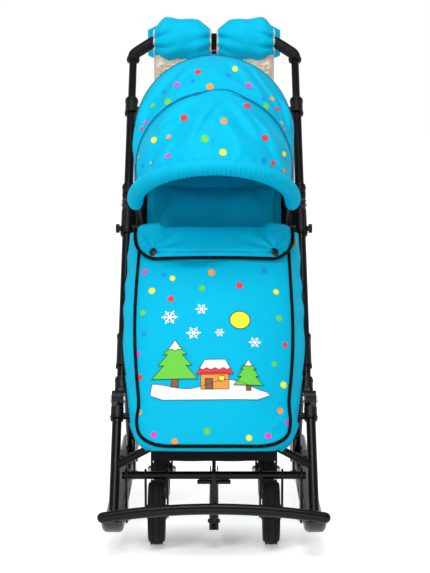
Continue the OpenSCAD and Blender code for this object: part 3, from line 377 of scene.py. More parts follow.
def patch(name, tree, place, normal, slope_axis, radius, stretch, colour, eye):
    """A printed dot laid on a surface as seen from a point, longer along one axis by a stretch."""
    along = (slope_axis - normal * normal.dot(slope_axis)).normalized()
    across = normal.cross(along)
    along = along * stretch
    points = [place + normal * DOT_LIFT]
    for ring in DOT_RINGS:
        for k in range(DOT_SIDES):
            angle = 2 * math.pi * k / DOT_SIDES
            aim = place + (across * math.cos(angle) + along * math.sin(angle)) * radius * ring
            hit, hit_normal, _, _ = tree.ray_cast(eye, (aim - eye).normalized())
            if hit is None or (hit - aim).length > 2 * radius:
                hit, hit_normal, _, _ = tree.find_nearest(aim)
            if hit_normal.dot(normal) < 0:
                hit_normal = -hit_normal
            points.append(hit + hit_normal * DOT_LIFT)
    faces = [(0, 1 + (k + 1) % DOT_SIDES, 1 + k) for k in range(DOT_SIDES)]
    rings = grid_faces(len(DOT_RINGS), DOT_SIDES, wrap=True)
    return mesh_object(name, points, faces + [tuple(1 + k for k in face) for face in rings], PRINT[colour])


def dots_from_photo(name, piece, dots):
    """Dots at their pixels in the photograph, laid on the piece that the camera sees there."""
    tree = surface_tree(piece)
    made = []
    for colour, px, py, size in dots:
        hit, normal, _, far = tree.ray_cast(CAMERA_AT, photo_ray(px, py))
        if hit is None:
            continue
        if normal.dot(CAMERA_AT - hit) < 0:
            normal = -normal
        view = (CAMERA_AT - hit).normalized()
        slope = (view - normal * normal.dot(view)).normalized()
        stretch = min(DOT_STRETCH, 1 / max(normal.dot(view), STEEPEST))
        stretch = 1 + (stretch - 1) * (1 - abs(slope.x))
        radius = size * far / FOCAL_PX
        made.append(patch(name, tree, hit, normal, view, radius, stretch, colour, CAMERA_AT))
    return join(name, made)


def dots_scattered(name, piece, places, outward_from):
    """Dots at given points near a surface, for the sides that the photograph doesn't show."""
    tree = surface_tree(piece)
    made = []
    for colour, aim, radius in places:
        hit, normal, _, _ = tree.find_nearest(Vector(aim))
        if normal.dot(hit - Vector(outward_from)) < 0:
            normal = -normal
        made.append(patch(name, tree, hit, normal, DOT_UP, radius, 1.0, colour, hit + normal * DOT_EYE))
    return join(name, made)


# Canopy: cloth arches between the bows, with seams along them and a padded roll in front

HOOP_R, HOOP_STEP, HOOP_X = 3 * MM, 6.4 * MM, 172 * MM
REAR_BOW = (HOOP_X, 392 * MM, 72.0)
MID_BOW = (HOOP_X - HOOP_STEP, 309 * MM, 105.0)
FRONT_BOW = (HOOP_X - 2 * HOOP_STEP, 317 * MM, 150.5)
CLOTH_LIFT, CLOTH_SAG, CLOTH_DEPTH = HOOP_R + 1.6 * MM, 9 * MM, 1.6 * MM
ROWS, COLS = 57, 201
BACK_FOOT, REAR_FOOT, MID_FOOT = 34 * MM, 66 * MM, 82 * MM
FOOT_CURVE, INSIDE_R = 0.6, 120 * MM
SEAM_GAP = 0.4 * MM
ROLL_R, ROLL_X, ROLL_TIP = 17.5 * MM, FRONT_BOW[0] + 9 * MM, 122 * MM
ROLL_OVERLAP, TIP_GAP = 5 * MM, 8 * MM
BACK_LIFT = 2.4 * MM
BACK_EDGE = (HOOP_X - 9 * MM - BACK_LIFT, 232 * MM - BACK_LIFT, 47.0)


def arch(s, width, reach, foot):
    """x and distance from the pivot along an arch with straight sides and a half-round top."""
    side = reach - width - foot
    half = side + math.pi / 2 * width
    run = half * (1 - np.abs(s))
    turn = np.maximum(0, run - side) / width
    straight = run < side
    x = np.where(straight, width, width * np.cos(turn))
    r = np.where(straight, foot + run, foot + side + width * np.sin(turn))
    return np.sign(s) * x, r


def in_canopy(x, r, degrees):
    angle = np.radians(degrees)
    return np.stack([x, CANOPY[1] + r * np.cos(angle), CANOPY[2] + r * np.sin(angle)], axis=-1)


def canopy_grid(start, stop, gaps, feet, wrinkle, lift=CLOTH_LIFT):
    """Points of the cloth from one bow to the next, with its dip and its wrinkles."""
    t, s = crossed(np.linspace(0, 1, ROWS), np.linspace(-1, 1, COLS))
    dip = CLOTH_SAG * 4 * t * (1 - t)
    width = start[0] + (stop[0] - start[0]) * t + lift
    reach = start[1] + (stop[1] - start[1]) * t + lift - dip
    x, r = arch(s, width, reach, feet[0] + (feet[1] - feet[0]) * t ** FOOT_CURVE)
    first = start[2] + np.degrees(np.arcsin(np.minimum(1, gaps[0] / r)))
    final = stop[2] - np.degrees(np.arcsin(np.minimum(1, gaps[1] / r)))
    grid = in_canopy(x, r, first + (final - first) * t)
    outward = normals_of(grid)
    inside = in_canopy(np.zeros_like(x), np.full_like(r, INSIDE_R), np.full_like(r, (start[2] + stop[2]) / 2))
    outward *= np.sign(np.sum(outward * (grid - inside), axis=-1, keepdims=True))
    return grid + outward * wrinkle(t, s)[..., None]


def ridge(phase):
    """A fold with a crisp crest: the phase's sine, folded at zero."""
    return 0.6 - np.sqrt(np.sin(phase) ** 2 + 0.015)


FAN_T, FAN_S = 1.15, 1.12
FAN_DEEP, FAN_FINE, BROAD_FOLD, RAY_FOLD = 8.0 * MM, 4.0 * MM, 6.5 * MM, 4.5 * MM


def fan_wrinkles(t, s):
    """Pulls that fan out from the lower corners and broad soft folds, fading towards the seams."""
    corner = np.arctan2(FAN_T - t, FAN_S - np.abs(s))
    reach = np.hypot(FAN_T - t, FAN_S - np.abs(s))
    fade = np.clip(5 * (t - 0.03), 0, 1) * np.minimum(1, 6 * (1 - t))
    side = np.where(s < 0, 0.7, 0.0)
    pulls = FAN_DEEP * ridge(corner * 7 + side) + FAN_FINE * ridge(corner * 12 + 2 * side + 1.0)
    broad = BROAD_FOLD * np.sin(10 * s + 3.4 * t + 0.4) * np.sin(2.8 * t + 1.3 * s + 0.5)
    rays = RAY_FOLD * ridge(9 * s * (1.25 - 0.5 * t) + 0.6) * (1 - 0.7 * t)
    return fade * (np.exp(-0.9 * reach) * pulls + broad + rays)


CREASE_HEIGHT, CREASE_STEEP, CREASE_SOFT = 9.0 * MM, 9 * MM, 30 * MM
HALF_RUN, PANEL_RUN = 370 * MM, 225 * MM
FRONT_CREASES = [
    (-0.08, 0.1, -0.46, 0.34), (-0.2, 0.3, -0.66, 0.7), (0.03, 0.2, -0.2, 0.86), (0.06, 0.12, 0.38, 0.64),
    (0.26, 0.2, 0.52, 0.66), (0.05, 0.42, 0.22, 0.95), (-0.3, 0.62, -0.5, 0.95), (0.44, 0.6, 0.62, 0.92),
]
REAR_CREASES = [
    (-0.1, 0.08, -0.46, 0.42), (-0.04, 0.14, -0.33, 0.82), (0.05, 0.12, 0.33, 0.76), (0.16, 0.1, 0.46, 0.6),
    (0.4, 0.25, 0.62, 0.7), (-0.42, 0.3, -0.62, 0.75),
]


def creases(t, s, lines, across=HALF_RUN, along_run=PANEL_RUN):
    """Folds along lines from (s, t) to (s, t), each steep on one side and soft on the other."""
    total = np.zeros_like(t)
    for s_from, t_from, s_to, t_to in lines:
        run = np.array([(s_to - s_from) * across, (t_to - t_from) * along_run])
        length = np.hypot(*run)
        x, y = (s - s_from) * across, (t - t_from) * along_run
        along = np.clip((x * run[0] + y * run[1]) / length ** 2, 0, 1)
        off = (x * run[1] - y * run[0]) / length * np.sign(s_to - s_from)
        profile = np.exp(-(off / np.where(off < 0, CREASE_STEEP, CREASE_SOFT)) ** 2)
        total += CREASE_HEIGHT * profile * np.sin(math.pi * np.clip(along, 0.02, 0.98)) ** 0.6
    return total


def off_sides(s):
    """1 over the top of the canopy, falling to little on its straight sides."""
    return np.clip((0.84 - np.abs(s)) / 0.14, 0.1, 1)


def rear_folds(t, s):
    return (fan_wrinkles(t, s) + creases(t, s, REAR_CREASES)) * off_sides(s)


def front_folds(t, s):
    """Folds of the front cloth, with small puckers where it is sewn to the roll."""
    edge = np.clip((t - 0.84) / 0.16, 0, 1) ** 1.5 * np.clip((0.8 - np.abs(s)) / 0.2, 0, 1)
    puckers = edge * 2.2 * MM * (1 + np.sin(s * 85 + 3 * np.sin(s * 11)))
    return (fan_wrinkles(t, s) + creases(t, s, FRONT_CREASES)) * off_sides(s) - puckers


def back_panel_folds(t, s):
    return fan_wrinkles(t, s) * (np.abs(s) < 0.55)


rear_grid = canopy_grid(REAR_BOW, MID_BOW, (SEAM_GAP, SEAM_GAP), (REAR_FOOT, MID_FOOT), rear_folds)
front_grid = canopy_grid(MID_BOW, FRONT_BOW, (SEAM_GAP, ROLL_R - ROLL_OVERLAP),
                         (MID_FOOT, ROLL_TIP + TIP_GAP), front_folds)
back_grid = canopy_grid(BACK_EDGE, REAR_BOW, (0.0, HOOP_R + SEAM_GAP), (BACK_FOOT, BACK_FOOT),
                        back_panel_folds, lift=BACK_LIFT)


def canopy_sheet(name, grid, node):
    piece = thicken(grid_object(name, grid, CLOTH, flip=True), CLOTH_DEPTH, -1.0)
    dress(piece, node=node)
    return piece


canopy_rear = canopy_sheet("canopy_rear_cloth", rear_grid, "canopy_rear_panel")
canopy_front = canopy_sheet("canopy_front_cloth", front_grid, "canopy_front_panel")
canopy_back = canopy_sheet("canopy_back_cloth", back_grid, "canopy_back_panel")
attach(canopy_back, "upper_frame")

REAR_DOTS = [
    ("red", 198, 72, 3.5), ("yellow", 235, 69, 2.8), ("blue", 228.5, 75.4, 2.5), ("blue", 193, 81, 2.4),
    ("pink", 177, 84.6, 2.6), ("orange", 210, 87, 3.6), ("pink", 248.6, 85.5, 3.2), ("blue", 164, 91.7, 2.4),
    ("green", 168, 102, 3.6), ("green", 153, 105.6, 2.6), ("blue", 264, 99, 2.4), ("orange", 272, 99, 2.2),
    ("green", 266, 106.6, 3.2), ("red", 277, 109, 2.2), ("pink", 146, 122, 2.2), ("orange", 281.5, 123, 2.2),
    ("red", 142, 128.5, 2.0), ("pink", 284, 128.5, 2.0),
]
FRONT_DOTS = [
    ("red", 247, 106, 3.4), ("red", 184, 118, 3.7), ("orange", 224, 121, 3.4), ("yellow", 154, 140, 3.3),
    ("orange", 169, 137, 2.8), ("green", 205, 139, 3.8), ("red", 265, 138, 3.7), ("pink", 168, 156, 3.4),
    ("yellow", 223, 152.5, 3.6), ("yellow", 284, 154, 2.8), ("blue", 263.6, 160.5, 2.8),
    ("red", 273, 163, 2.8), ("orange", 284, 170.6, 2.2), ("orange", 138.5, 157, 2.2), ("blue", 143, 166, 2.4),
    ("orange", 151, 163, 1.4),
]
rear_dots = dress(dots_from_photo("canopy_rear_dots", canopy_rear, REAR_DOTS))
front_dots = dress(dots_from_photo("canopy_front_dots", canopy_front, FRONT_DOTS))

# The sides and the back carry the same dots, spread by a jittered lattice
spread = np.random.default_rng(11)
NAMES = list(DOTS)
JITTER, DOT_SMALL, DOT_LARGE = 0.35, 5.0, 8.0
SIDE_X, CLEAR_PX = 169 * MM, 9


def pixel_of(point):
    """Where the photograph's camera sees a point."""
    away = Vector(point) - CAMERA_AT
    depth = away.y * math.cos(TILT) - away.z * math.sin(TILT)
    rise = away.y * math.sin(TILT) + away.z * math.cos(TILT)
    return PHOTO_W / 2 + FOCAL_PX * away.x / depth, PHOTO_H / 2 - FOCAL_PX * rise / depth


def beside_photo_dots(point):
    """Whether a point on the canopy's side lies clear of the dots that the photograph shows."""
    px, py = pixel_of(point)
    clear = all(math.hypot(px - dot[1], py - dot[2]) > CLEAR_PX for dot in REAR_DOTS + FRONT_DOTS)
    return clear and abs(point[0]) > SIDE_X


def lattice(grid, rows, cols, keep):
    places = []
    for i in range(rows):
        for j in range(cols):
            a = (i + 0.5 + JITTER * spread.uniform(-1, 1)) / rows
            b = (j + 0.5 + JITTER * spread.uniform(-1, 1)) / cols
            point = grid[int(a * (grid.shape[0] - 1)), int(b * (grid.shape[1] - 1))]
            colour = NAMES[int(spread.integers(len(NAMES)))]
            radius = spread.uniform(DOT_SMALL, DOT_LARGE) * MM
            if keep(point):
                places.append((colour, point, radius))
    return places


back_dots = dots_scattered("canopy_back_dots", canopy_back, lattice(back_grid, 4, 12, lambda p: True), CANOPY)
side_front = dots_scattered("canopy_side_dots_front", canopy_front,
                            lattice(front_grid, 4, 14, beside_photo_dots), CANOPY)
side_rear = dots_scattered("canopy_side_dots_rear", canopy_rear,
                           lattice(rear_grid, 3, 14, beside_photo_dots), CANOPY)
dress(back_dots, "upper_frame")
dress(side_front)
dress(side_rear)

SEAM_CROWN, CROWN_HALF, FOLD_REACH = 3 * MM, 110 * MM, 14 * MM


def seam_path(bow, proud, shift, foot, crown=0.0, count=140):
    """A line along a bow, proud of the cloth, shifted along it and raised by a crown at the top."""
    s = np.linspace(-1, 1, count)
    lift = CLOTH_LIFT + proud
    x, r = arch(s, bow[0] + lift, bow[1] + lift, foot)
    r = r + crown * np.cos(s * math.pi / 2) ** 2
    return in_canopy(x, r, bow[2] + np.degrees(np.arcsin(np.clip(shift / r, -1, 1))))


def over_folds(path, lift):
    """A seam raised at the crown wherever a fold of the cloth would cover it."""
    trees = [surface_tree(piece) for piece in (canopy_rear, canopy_front)]
    raised = []
    for point in path:
        axis = Vector((point[0], CANOPY[1], CANOPY[2]))
        spoke = Vector(point) - axis
        start = Vector(point) + spoke.normalized() * FOLD_REACH
        hits = [tree.ray_cast(start, -spoke, 2 * FOLD_REACH)[0] for tree in trees]
        reach = max([spoke.length] + [(hit - axis).length + lift for hit in hits if hit is not None])
        raised.append(axis + spoke.normalized() * (reach if abs(point[0]) < CROWN_HALF else spoke.length))
    return np.array(raised)


SEAM_R, SEAM_SHADE_R, MID_STITCH_R, REAR_STITCH_R, SEAM_FLAT = 1.8 * MM, 1.4 * MM, 1.0 * MM, 0.9 * MM, 0.8
mid_line = over_folds(seam_path(MID_BOW, 0.6 * MM, -1.6 * MM, MID_FOOT, SEAM_CROWN), 0.4 * MM)
# A dark tube just in front of the mid seam: a line of painted shade along the seam
seam_shade_line = over_folds(seam_path(MID_BOW, 0.6 * MM, 1.4 * MM, MID_FOOT, SEAM_CROWN), 0.6 * MM)
mid_stitch_line = seam_path(MID_BOW, 0.9 * MM, 9.5 * MM, MID_FOOT, SEAM_CROWN)
rear_line = seam_path(REAR_BOW, 0.2 * MM, 0.0, REAR_FOOT)
rear_stitch_line = seam_path(REAR_BOW, 0.4 * MM, 9 * MM, REAR_FOOT)
dress(tube("canopy_mid_seam", mid_line, SEAM_R, CLOTH, flatten=SEAM_FLAT), "canopy_mid")
dress(tube("canopy_mid_seam_shade", seam_shade_line, SEAM_SHADE_R, THREAD_AND_SEAM_SHADE), "canopy_mid")
dress(tube("canopy_rear_seam", rear_line, SEAM_R, CLOTH, flatten=SEAM_FLAT), "upper_frame")
mid_stitch = dress(tube("canopy_mid_stitch", mid_stitch_line, MID_STITCH_R, THREAD_AND_SEAM_SHADE, sides=6))
rear_stitch = tube("canopy_rear_stitch", rear_stitch_line, REAR_STITCH_R, THREAD_AND_SEAM_SHADE, sides=6)
dress(rear_stitch, "upper_frame")

# The canopy cloth, its dots and the mid stitch keep their placement baked into their meshes
for piece in (canopy_rear, rear_dots, side_rear):
    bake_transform(piece)
for piece in (canopy_front, front_dots, side_front, mid_stitch):
    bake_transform(piece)

# The roll is stuffed, gathered finely along its length and drawn in at its tips
ROLL_RINGS, ROLL_SIDES = 560, 28
RIB, RIB_UNDER, RIB_TURNS = 0.012, 0.045, 188
s_roll = np.linspace(-1, 1, ROLL_RINGS)
roll_x, roll_r = arch(s_roll, ROLL_X, FRONT_BOW[1] + ROLL_OVERLAP, ROLL_TIP)
roll_line = in_canopy(roll_x, roll_r, np.full_like(roll_x, FRONT_BOW[2]))
rounded = np.sqrt(np.maximum(0.06, 1 - np.abs(s_roll) ** 36))
slimmed = 1 - 0.14 * np.clip((np.abs(s_roll) - 0.86) / 0.14, 0, 1)
roll = tube("canopy_roll_pad", roll_line, ROLL_R * rounded * slimmed, CLOTH, sides=ROLL_SIDES, up=(0, 1, 0))
spokes = points_of(roll).reshape(ROLL_RINGS, ROLL_SIDES, 3) - roll_line[:, None]
under = np.clip(0.5 - 0.5 * spokes[..., 2] / ROLL_R, 0, 1)
ribs = np.sin(s_roll * RIB_TURNS + 1.5 * np.sin(s_roll * 9))[:, None]
set_points(roll, roll_line[:, None] + spokes * (1 + (RIB + RIB_UNDER * under ** 2) * ribs)[..., None])
dress(roll, "canopy_front", "canopy_roll")

# A loose valance hangs from the back panel behind the backrest
VALANCE_HALF, VALANCE_ROWS = 138 * MM, 15
VALANCE_Z, VALANCE_Y = 690 * MM, NOSE_Y + 703 * MM
CORNER_BACK, CORNER_UP = 45 * MM, 22 * MM
BELLY, RIPPLE, RIPPLE_RUN, FULLNESS = 5 * MM, 2 * MM, 9 * MM, 1.02
top_row = back_grid[0][np.abs(back_grid[0][:, 0]) < VALANCE_HALF]
over = np.abs(top_row[:, 0]) / VALANCE_HALF
low_row = np.stack([top_row[:, 0], VALANCE_Y - CORNER_BACK * over ** 6, VALANCE_Z + CORNER_UP * over ** 4],
                   axis=-1)
share = np.linspace(0, 1, VALANCE_ROWS)[:, None, None]
valance_grid = top_row * (1 - share) + low_row * share
hang = np.sin(math.pi * share[..., 0])
valance_grid[..., 1] += BELLY * hang + RIPPLE * share[..., 0] * np.sin(top_row[:, 0] / RIPPLE_RUN)
valance = thicken(grid_object("canopy_valance", valance_grid, CLOTH), CLOTH_DEPTH)
dress(valance, "upper_frame")
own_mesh(valance)


# Apron: a quilted cover, piped along its front panel, with a folded flap held by two snaps

APRON_HALF, TOE_HALF, CHEST_HALF = 190 * MM, 144 * MM, 186 * MM
CROWN, TOE_CROWN, EDGE_V = 114 * MM, 64 * MM, 15.3 * MM
LOW_U, SIDE_U, EDGE_U, TOP_U = 96 * MM, 126 * MM, 655 * MM, 600 * MM
PANEL_LENGTH = TOP_U - LOW_U
ARCH_POWER, TOE_T, TOE_END = 2.6, -0.029, 0.12
APRON_DEPTH = 6 * MM
CORNER_BULGE, TOE_BULGE, BELLY_BULGE = 9 * MM, 5 * MM, 4 * MM
CHEST_DIP, MIDDLE_DIP = 4 * MM, 5 * MM
TOE_PULL, SIDE_SLACK, QUILT, BAY_DIP = 1.6 * MM, 2.2 * MM, 2.0 * MM, 13.0 * MM


def bell(value, middle, width):
    """1 at the middle, falling off on both sides."""
    return np.exp(-((value - middle) / width) ** 2)


def apron_width(t):
    """Half the apron's width, full at its toe corners and drawn in a little at the chest."""
    plain = APRON_HALF - (APRON_HALF - TOE_HALF) * (1 - t) ** 6 - (APRON_HALF - CHEST_HALF) * t ** 3
    corner = CORNER_BULGE * bell(t, 0.07, 0.07) + TOE_BULGE * bell(t, 0.02, 0.03)
    return plain + corner + BELLY_BULGE * bell(t, 0.55, 0.3)


def apron_surface(t, s):
    """Points of the plain cover: t from its toe to its chest edge, s from side to side."""
    t, s = np.broadcast_arrays(np.asarray(t, float), np.asarray(s, float))
    height = TOE_CROWN + (CROWN - TOE_CROWN) * (1 - (1 - t) ** 3)
    rise = np.sqrt(np.maximum(0, 1 - np.abs(s) ** ARCH_POWER))
    toe = np.clip((TOE_END - t) / TOE_END, 0, 1)
    v = EDGE_V + np.maximum(0, height - EDGE_V) * rise ** (1 - 0.6 * toe)
    side_u = SIDE_U + (EDGE_U - SIDE_U) * np.maximum(t, 0)
    chest_dip = np.clip(t, 0, 1) ** 12 * (CHEST_DIP + MIDDLE_DIP * np.clip((0.61 - np.abs(s)) / 0.1, 0, 1))
    crown_u = LOW_U + PANEL_LENGTH * t - chest_dip
    points = on_line(side_u + (crown_u - side_u) * rise ** (1 - 0.8 * toe), v)
    points[..., 0] = apron_width(t) * s
    return points


def apron_wrinkles(t, s):
    """Soft quilting hollows, pulls at the toe corners, slack along the sides and a dip below the flap."""
    toe = np.hypot(1.4 * (np.abs(s) - 0.8), 2.2 * (t - 0.05))
    pulls = np.exp(-5 * toe) * np.sin(14 * np.arctan2(t - 0.02, np.abs(s) - 0.6) + 3 * s)
    slack = bell(np.abs(s), 0.95, 0.05) * np.sin(36 * t + 2 * np.sin(9 * t))
    broad = np.sin(5.3 * t + 1.7 * s) * np.sin(4.1 * s - 2.3 * t + 0.8)
    bay = bell(t, 0.825, 0.025) * bell(s, -0.2, 0.3)
    return TOE_PULL * pulls + SIDE_SLACK * slack + QUILT * broad - BAY_DIP * bay


def over_apron(t, s, amount):
    """Points of the plain cover moved out along its normals by an amount."""
    t, s = np.broadcast_arrays(np.asarray(t, float), np.asarray(s, float))
    step, edge = 1e-3, 0.999
    before, after = np.clip(s - step, -edge, edge), np.clip(s + step, -edge, edge)
    along = apron_surface(t, after) - apron_surface(t, before)
    normal = np.cross(along, apron_surface(t + step, s) - apron_surface(t - step, s))
    normal *= np.sign(np.sum(normal * NORMAL, axis=-1, keepdims=True) + 1e-9)
    return apron_surface(t, s) + unit(normal) * np.broadcast_to(amount, t.shape)[..., None]


def on_apron(t, s, lift):
    """Points over the wrinkled cloth of the apron."""
    return over_apron(t, s, apron_wrinkles(np.asarray(t, float), np.asarray(s, float)) + lift)


arch_steps = np.sin(np.linspace(-math.pi / 2, math.pi / 2, 97)) * 0.9995
t_apron, s_apron = crossed(np.linspace(TOE_T, 0.998, 101), arch_steps)
apron = thicken(grid_object("apron_cloth", on_apron(t_apron, s_apron, 0.0), CLOTH), APRON_DEPTH, -1.0)
dress(apron, "chassis", "apron")

PIPE_R, PIPE_LIFT = 3.7 * MM, 1.2 * MM
PIPE_S, PIPE_T = 0.85, -0.011
PIPE_HALF = [(0.0, PIPE_T), (0.4, PIPE_T), (0.68, PIPE_T), (0.85, 0.004), (0.925, 0.045), (0.905, 0.095),
             (0.87, 0.14), (PIPE_S, 0.24), (PIPE_S, 0.5), (PIPE_S, 0.9)]
route = smooth_path(PIPE_HALF[::-1] + [(-s, t) for s, t in PIPE_HALF[1:]], 260)
piping = tube("apron_piping", on_apron(route[:, 1], route[:, 0], PIPE_LIFT), PIPE_R, PIPING)
dress(piping, "chassis")

# The flap is a fuller fold over the chest edge, pulled in at its snaps
FLAP_LOW, FLAP_SIDE, FLAP_CORNER, CORNER_RISE = 0.835, 0.877, 0.24, 0.13
FLAP_GAP, FLAP_PUFF, UNDER_GAP = 3.0 * MM, 10.0 * MM, 0.8 * MM
SNAP_S, SNAP_T = 0.67, 0.868
SNAP_PULL, SNAP_REACH, SNAP_FOLDS, SNAP_DENT = 9.0 * MM, 46 * MM, 9, 15 * MM
SNAP_NEAR, SNAP_FOOT = 9 * MM, -6 * MM
FLAP_ROWS, FLAP_COLS, UNDER_STEP, ROLL_OVER = 56, 181, 8, 7


def flap_low(s):
    """Lower edge of the flap, rounded up at its corners."""
    over = np.clip((np.abs(s) - (FLAP_SIDE - FLAP_CORNER)) / FLAP_CORNER, 0, 1)
    return FLAP_LOW + CORNER_RISE * (1 - np.sqrt(1 - over ** 2))


def flap_t(a, s):
    """Place along the panel of a point of the flap, a counted from its lower edge to the chest."""
    return flap_low(s) + a * (1 - flap_low(s))


def flap_puff(a, s):
    """Height of the flap over the apron: full at its corners, flatter between, creased towards the snaps."""
    edge = np.minimum(1, 5 * a) ** 0.6 * np.minimum(1, 9 * (1 - np.abs(s) / FLAP_SIDE)) ** 0.6
    middle = np.clip((0.59 - np.abs(s)) / 0.1, 0, 1)
    full = 1 + 0.3 * (1 - middle) * a - 0.5 * middle * a ** 3
    notch = 0.5 * a ** 2 * bell(np.abs(s), 0.55, 0.035)
    along, across = (flap_t(a, s) - SNAP_T) * PANEL_LENGTH, (np.abs(s) - SNAP_S) * CHEST_HALF
    away = np.hypot(along, across)
    crease = np.sin(0.5 * SNAP_FOLDS * np.arctan2(along, across) + 0.4) ** 2 - 0.5
    near = np.minimum(1, away / SNAP_NEAR) * (along > SNAP_FOOT)
    pulls = SNAP_PULL * crease * np.exp(-away / SNAP_REACH) * near
    return FLAP_GAP + edge * (FLAP_PUFF * (full - notch) * (1 - 0.6 * bell(away, 0, SNAP_DENT)) + pulls)


a_flap, s_flap = crossed(np.linspace(0, 1, FLAP_ROWS), np.linspace(-FLAP_SIDE, FLAP_SIDE, FLAP_COLS))
t_flap = flap_t(a_flap, s_flap)
flap_grid = over_apron(t_flap, s_flap, flap_puff(a_flap, s_flap))
under_grid = over_apron(t_flap[::UNDER_STEP], s_flap[::UNDER_STEP], UNDER_GAP)
chest = flap_grid[-1]
inside = over_apron(t_flap[-1], s_flap[-1], -APRON_DEPTH)
middle, spoke = (chest + inside) / 2, (chest - inside) / 2
bulge = LINE * np.linalg.norm(spoke, axis=1, keepdims=True)
fold_grid = np.array([middle + spoke * math.cos(angle) + bulge * math.sin(angle)
                      for angle in np.linspace(0, math.pi, ROLL_OVER + 2)[1:]])
flap = grid_object("apron_flap_cloth", np.concatenate([under_grid[::-1], flap_grid, fold_grid]), CLOTH)
dress(flap, "chassis", "apron_flap")

EDGE_COUNT, END_COUNT, END_T = 240, 12, 0.968
edge_s = np.linspace(-FLAP_SIDE, FLAP_SIDE, EDGE_COUNT)
side_lift = PIPE_R + 6 * MM * np.clip((np.abs(edge_s) - 0.65) / 0.2, 0, 1)
end_t = np.linspace(1.0, END_T, END_COUNT)
edge_path = np.concatenate([over_apron(end_t, -FLAP_SIDE, side_lift[0])[:-1],
                            over_apron(flap_low(edge_s), edge_s, side_lift),
                            over_apron(end_t[::-1], FLAP_SIDE, side_lift[0])[1:]])
dress(tube("flap_piping", edge_path, PIPE_R, PIPING), "chassis")
HEM_S, HEM_A, HEM_COUNT = 0.66, 0.13, 160
hem_s = np.linspace(-HEM_S, HEM_S, HEM_COUNT)
hem_a = np.full(HEM_COUNT, HEM_A)
hem = over_apron(flap_t(hem_a, hem_s), hem_s, flap_puff(hem_a, hem_s))
dress(tube("flap_stitch", hem, 0.6 * MM, THREAD_AND_SEAM_SHADE, sides=6), "chassis")

# Domed snap caps, turned from a profile of radius and height in millimetres
SNAP_PROFILE = [(10.2, -1.0), (10.2, 0.6), (9.7, 1.8), (8.3, 3.2), (6.0, 4.4), (3.1, 5.2), (0.4, 5.4)]
SNAP_LOW, SNAP_HIGH = 3.5 * MM, 7 * MM
caps = []
for side, _ in SIDES:
    foot, top = [over_apron(SNAP_T, side * SNAP_S, FLAP_GAP + lift) for lift in (SNAP_LOW, SNAP_HIGH)]
    aim = unit(top - foot)
    caps.append(tube("snap_cap", [foot + aim * height * MM for _, height in SNAP_PROFILE],
                     [radius * MM for radius, _ in SNAP_PROFILE], GLOSS, sides=28))
dress(join("flap_snap_caps", caps), "chassis", "flap_snaps")

APRON_DOTS = [
    ("pink", 145, 272, 3.0), ("blue", 164, 275, 2.3), ("yellow", 172.6, 278.5, 2.8),
    ("orange", 211.5, 272.5, 3.5), ("blue", 264, 271, 3.1), ("green", 202, 288.5, 3.0),
    ("red", 239.5, 285.5, 3.5), ("yellow", 152, 291, 3.4), ("yellow", 276, 292, 3.0), ("red", 171, 299, 3.2),
    ("green", 143, 313, 3.0), ("green", 279, 318.5, 3.2), ("blue", 144, 334, 2.9), ("pink", 138.5, 354, 2.4),
    ("red", 140, 377.6, 3.0), ("orange", 139.6, 412.7, 2.8), ("pink", 153.8, 435, 3.3),
    ("orange", 174.7, 441.5, 3.2), ("green", 207, 431.5, 3.5), ("yellow", 249, 438, 3.1),
    ("pink", 268, 436, 3.3), ("pink", 288, 423, 3.0), ("orange", 280, 411, 3.3), ("yellow", 283.5, 385, 3.6),
    ("green", 274, 364, 2.7), ("red", 285, 345, 2.9),
]
dress(dots_from_photo("apron_dots", apron, APRON_DOTS), "chassis")


# Print on the apron: a winter scene of plain shapes in millimetres, laid on the cloth in layers

PRINT_T, PRINT_X, PRINT_STEP = 0.40, -8 * MM, 0.25 * MM
LONGEST_EDGE, OUTLINE_STEP, OUTLINE_R = 9 * MM, 3 * MM, 0.9 * MM


def panel_point(flat, layer):
    """Points of the print, x across and y up the panel, laid on the cloth."""
    t = PRINT_T + flat[:, 1] / PANEL_LENGTH
    return on_apron(t, (flat[:, 0] + PRINT_X) / apron_width(t), DOT_LIFT + layer * PRINT_STEP)


def fill_shape(name, outline, layer, material):
    """A flat shape cut fine enough to lie on the curved cloth."""
    work = bmesh.new()
    work.faces.new([work.verts.new((x, y, 0)) for x, y in outline])
    for _ in range(6):
        bmesh.ops.triangulate(work, faces=work.faces[:])
        long_edges = [edge for edge in work.edges if edge.calc_length() > LONGEST_EDGE]
        if not long_edges:
            break
        bmesh.ops.subdivide_edges(work, edges=long_edges, cuts=1)
    bmesh.ops.triangulate(work, faces=work.faces[:])
    flat = np.array([v.co for v in work.verts])
    work.verts.index_update()
    faces = [tuple(v.index for v in face.verts) for face in work.faces]
    work.free()
    return mesh_object(name, panel_point(flat, layer), faces, material)


def outline_of(name, shape, layer, material):
    """A drawn outline round a shape."""
    corners = np.array(list(shape) + [shape[0]])
    path = []
    for a, b in zip(corners[:-1], corners[1:]):
        steps = max(2, int(np.linalg.norm(b - a) / OUTLINE_STEP))
        path += [a + (b - a) * k / steps for k in range(steps)]
    points = panel_point(np.array(path), layer)
    return tube(name, points, OUTLINE_R, material, sides=6, closed=True, flatten=0.6)


def scaled(shape, scale, x, y):
    return [((px * scale + x) * MM, (py * scale + y) * MM) for px, py in shape]


def mirrored(half):
    """A closed shape from its right half, given from the top down."""
    return half + [(-x, y) for x, y in half[::-1] if x != 0]


def block(x_low, y_low, x_high, y_high):
    return [(x_low, y_low), (x_high, y_low), (x_high, y_high), (x_low, y_high)]


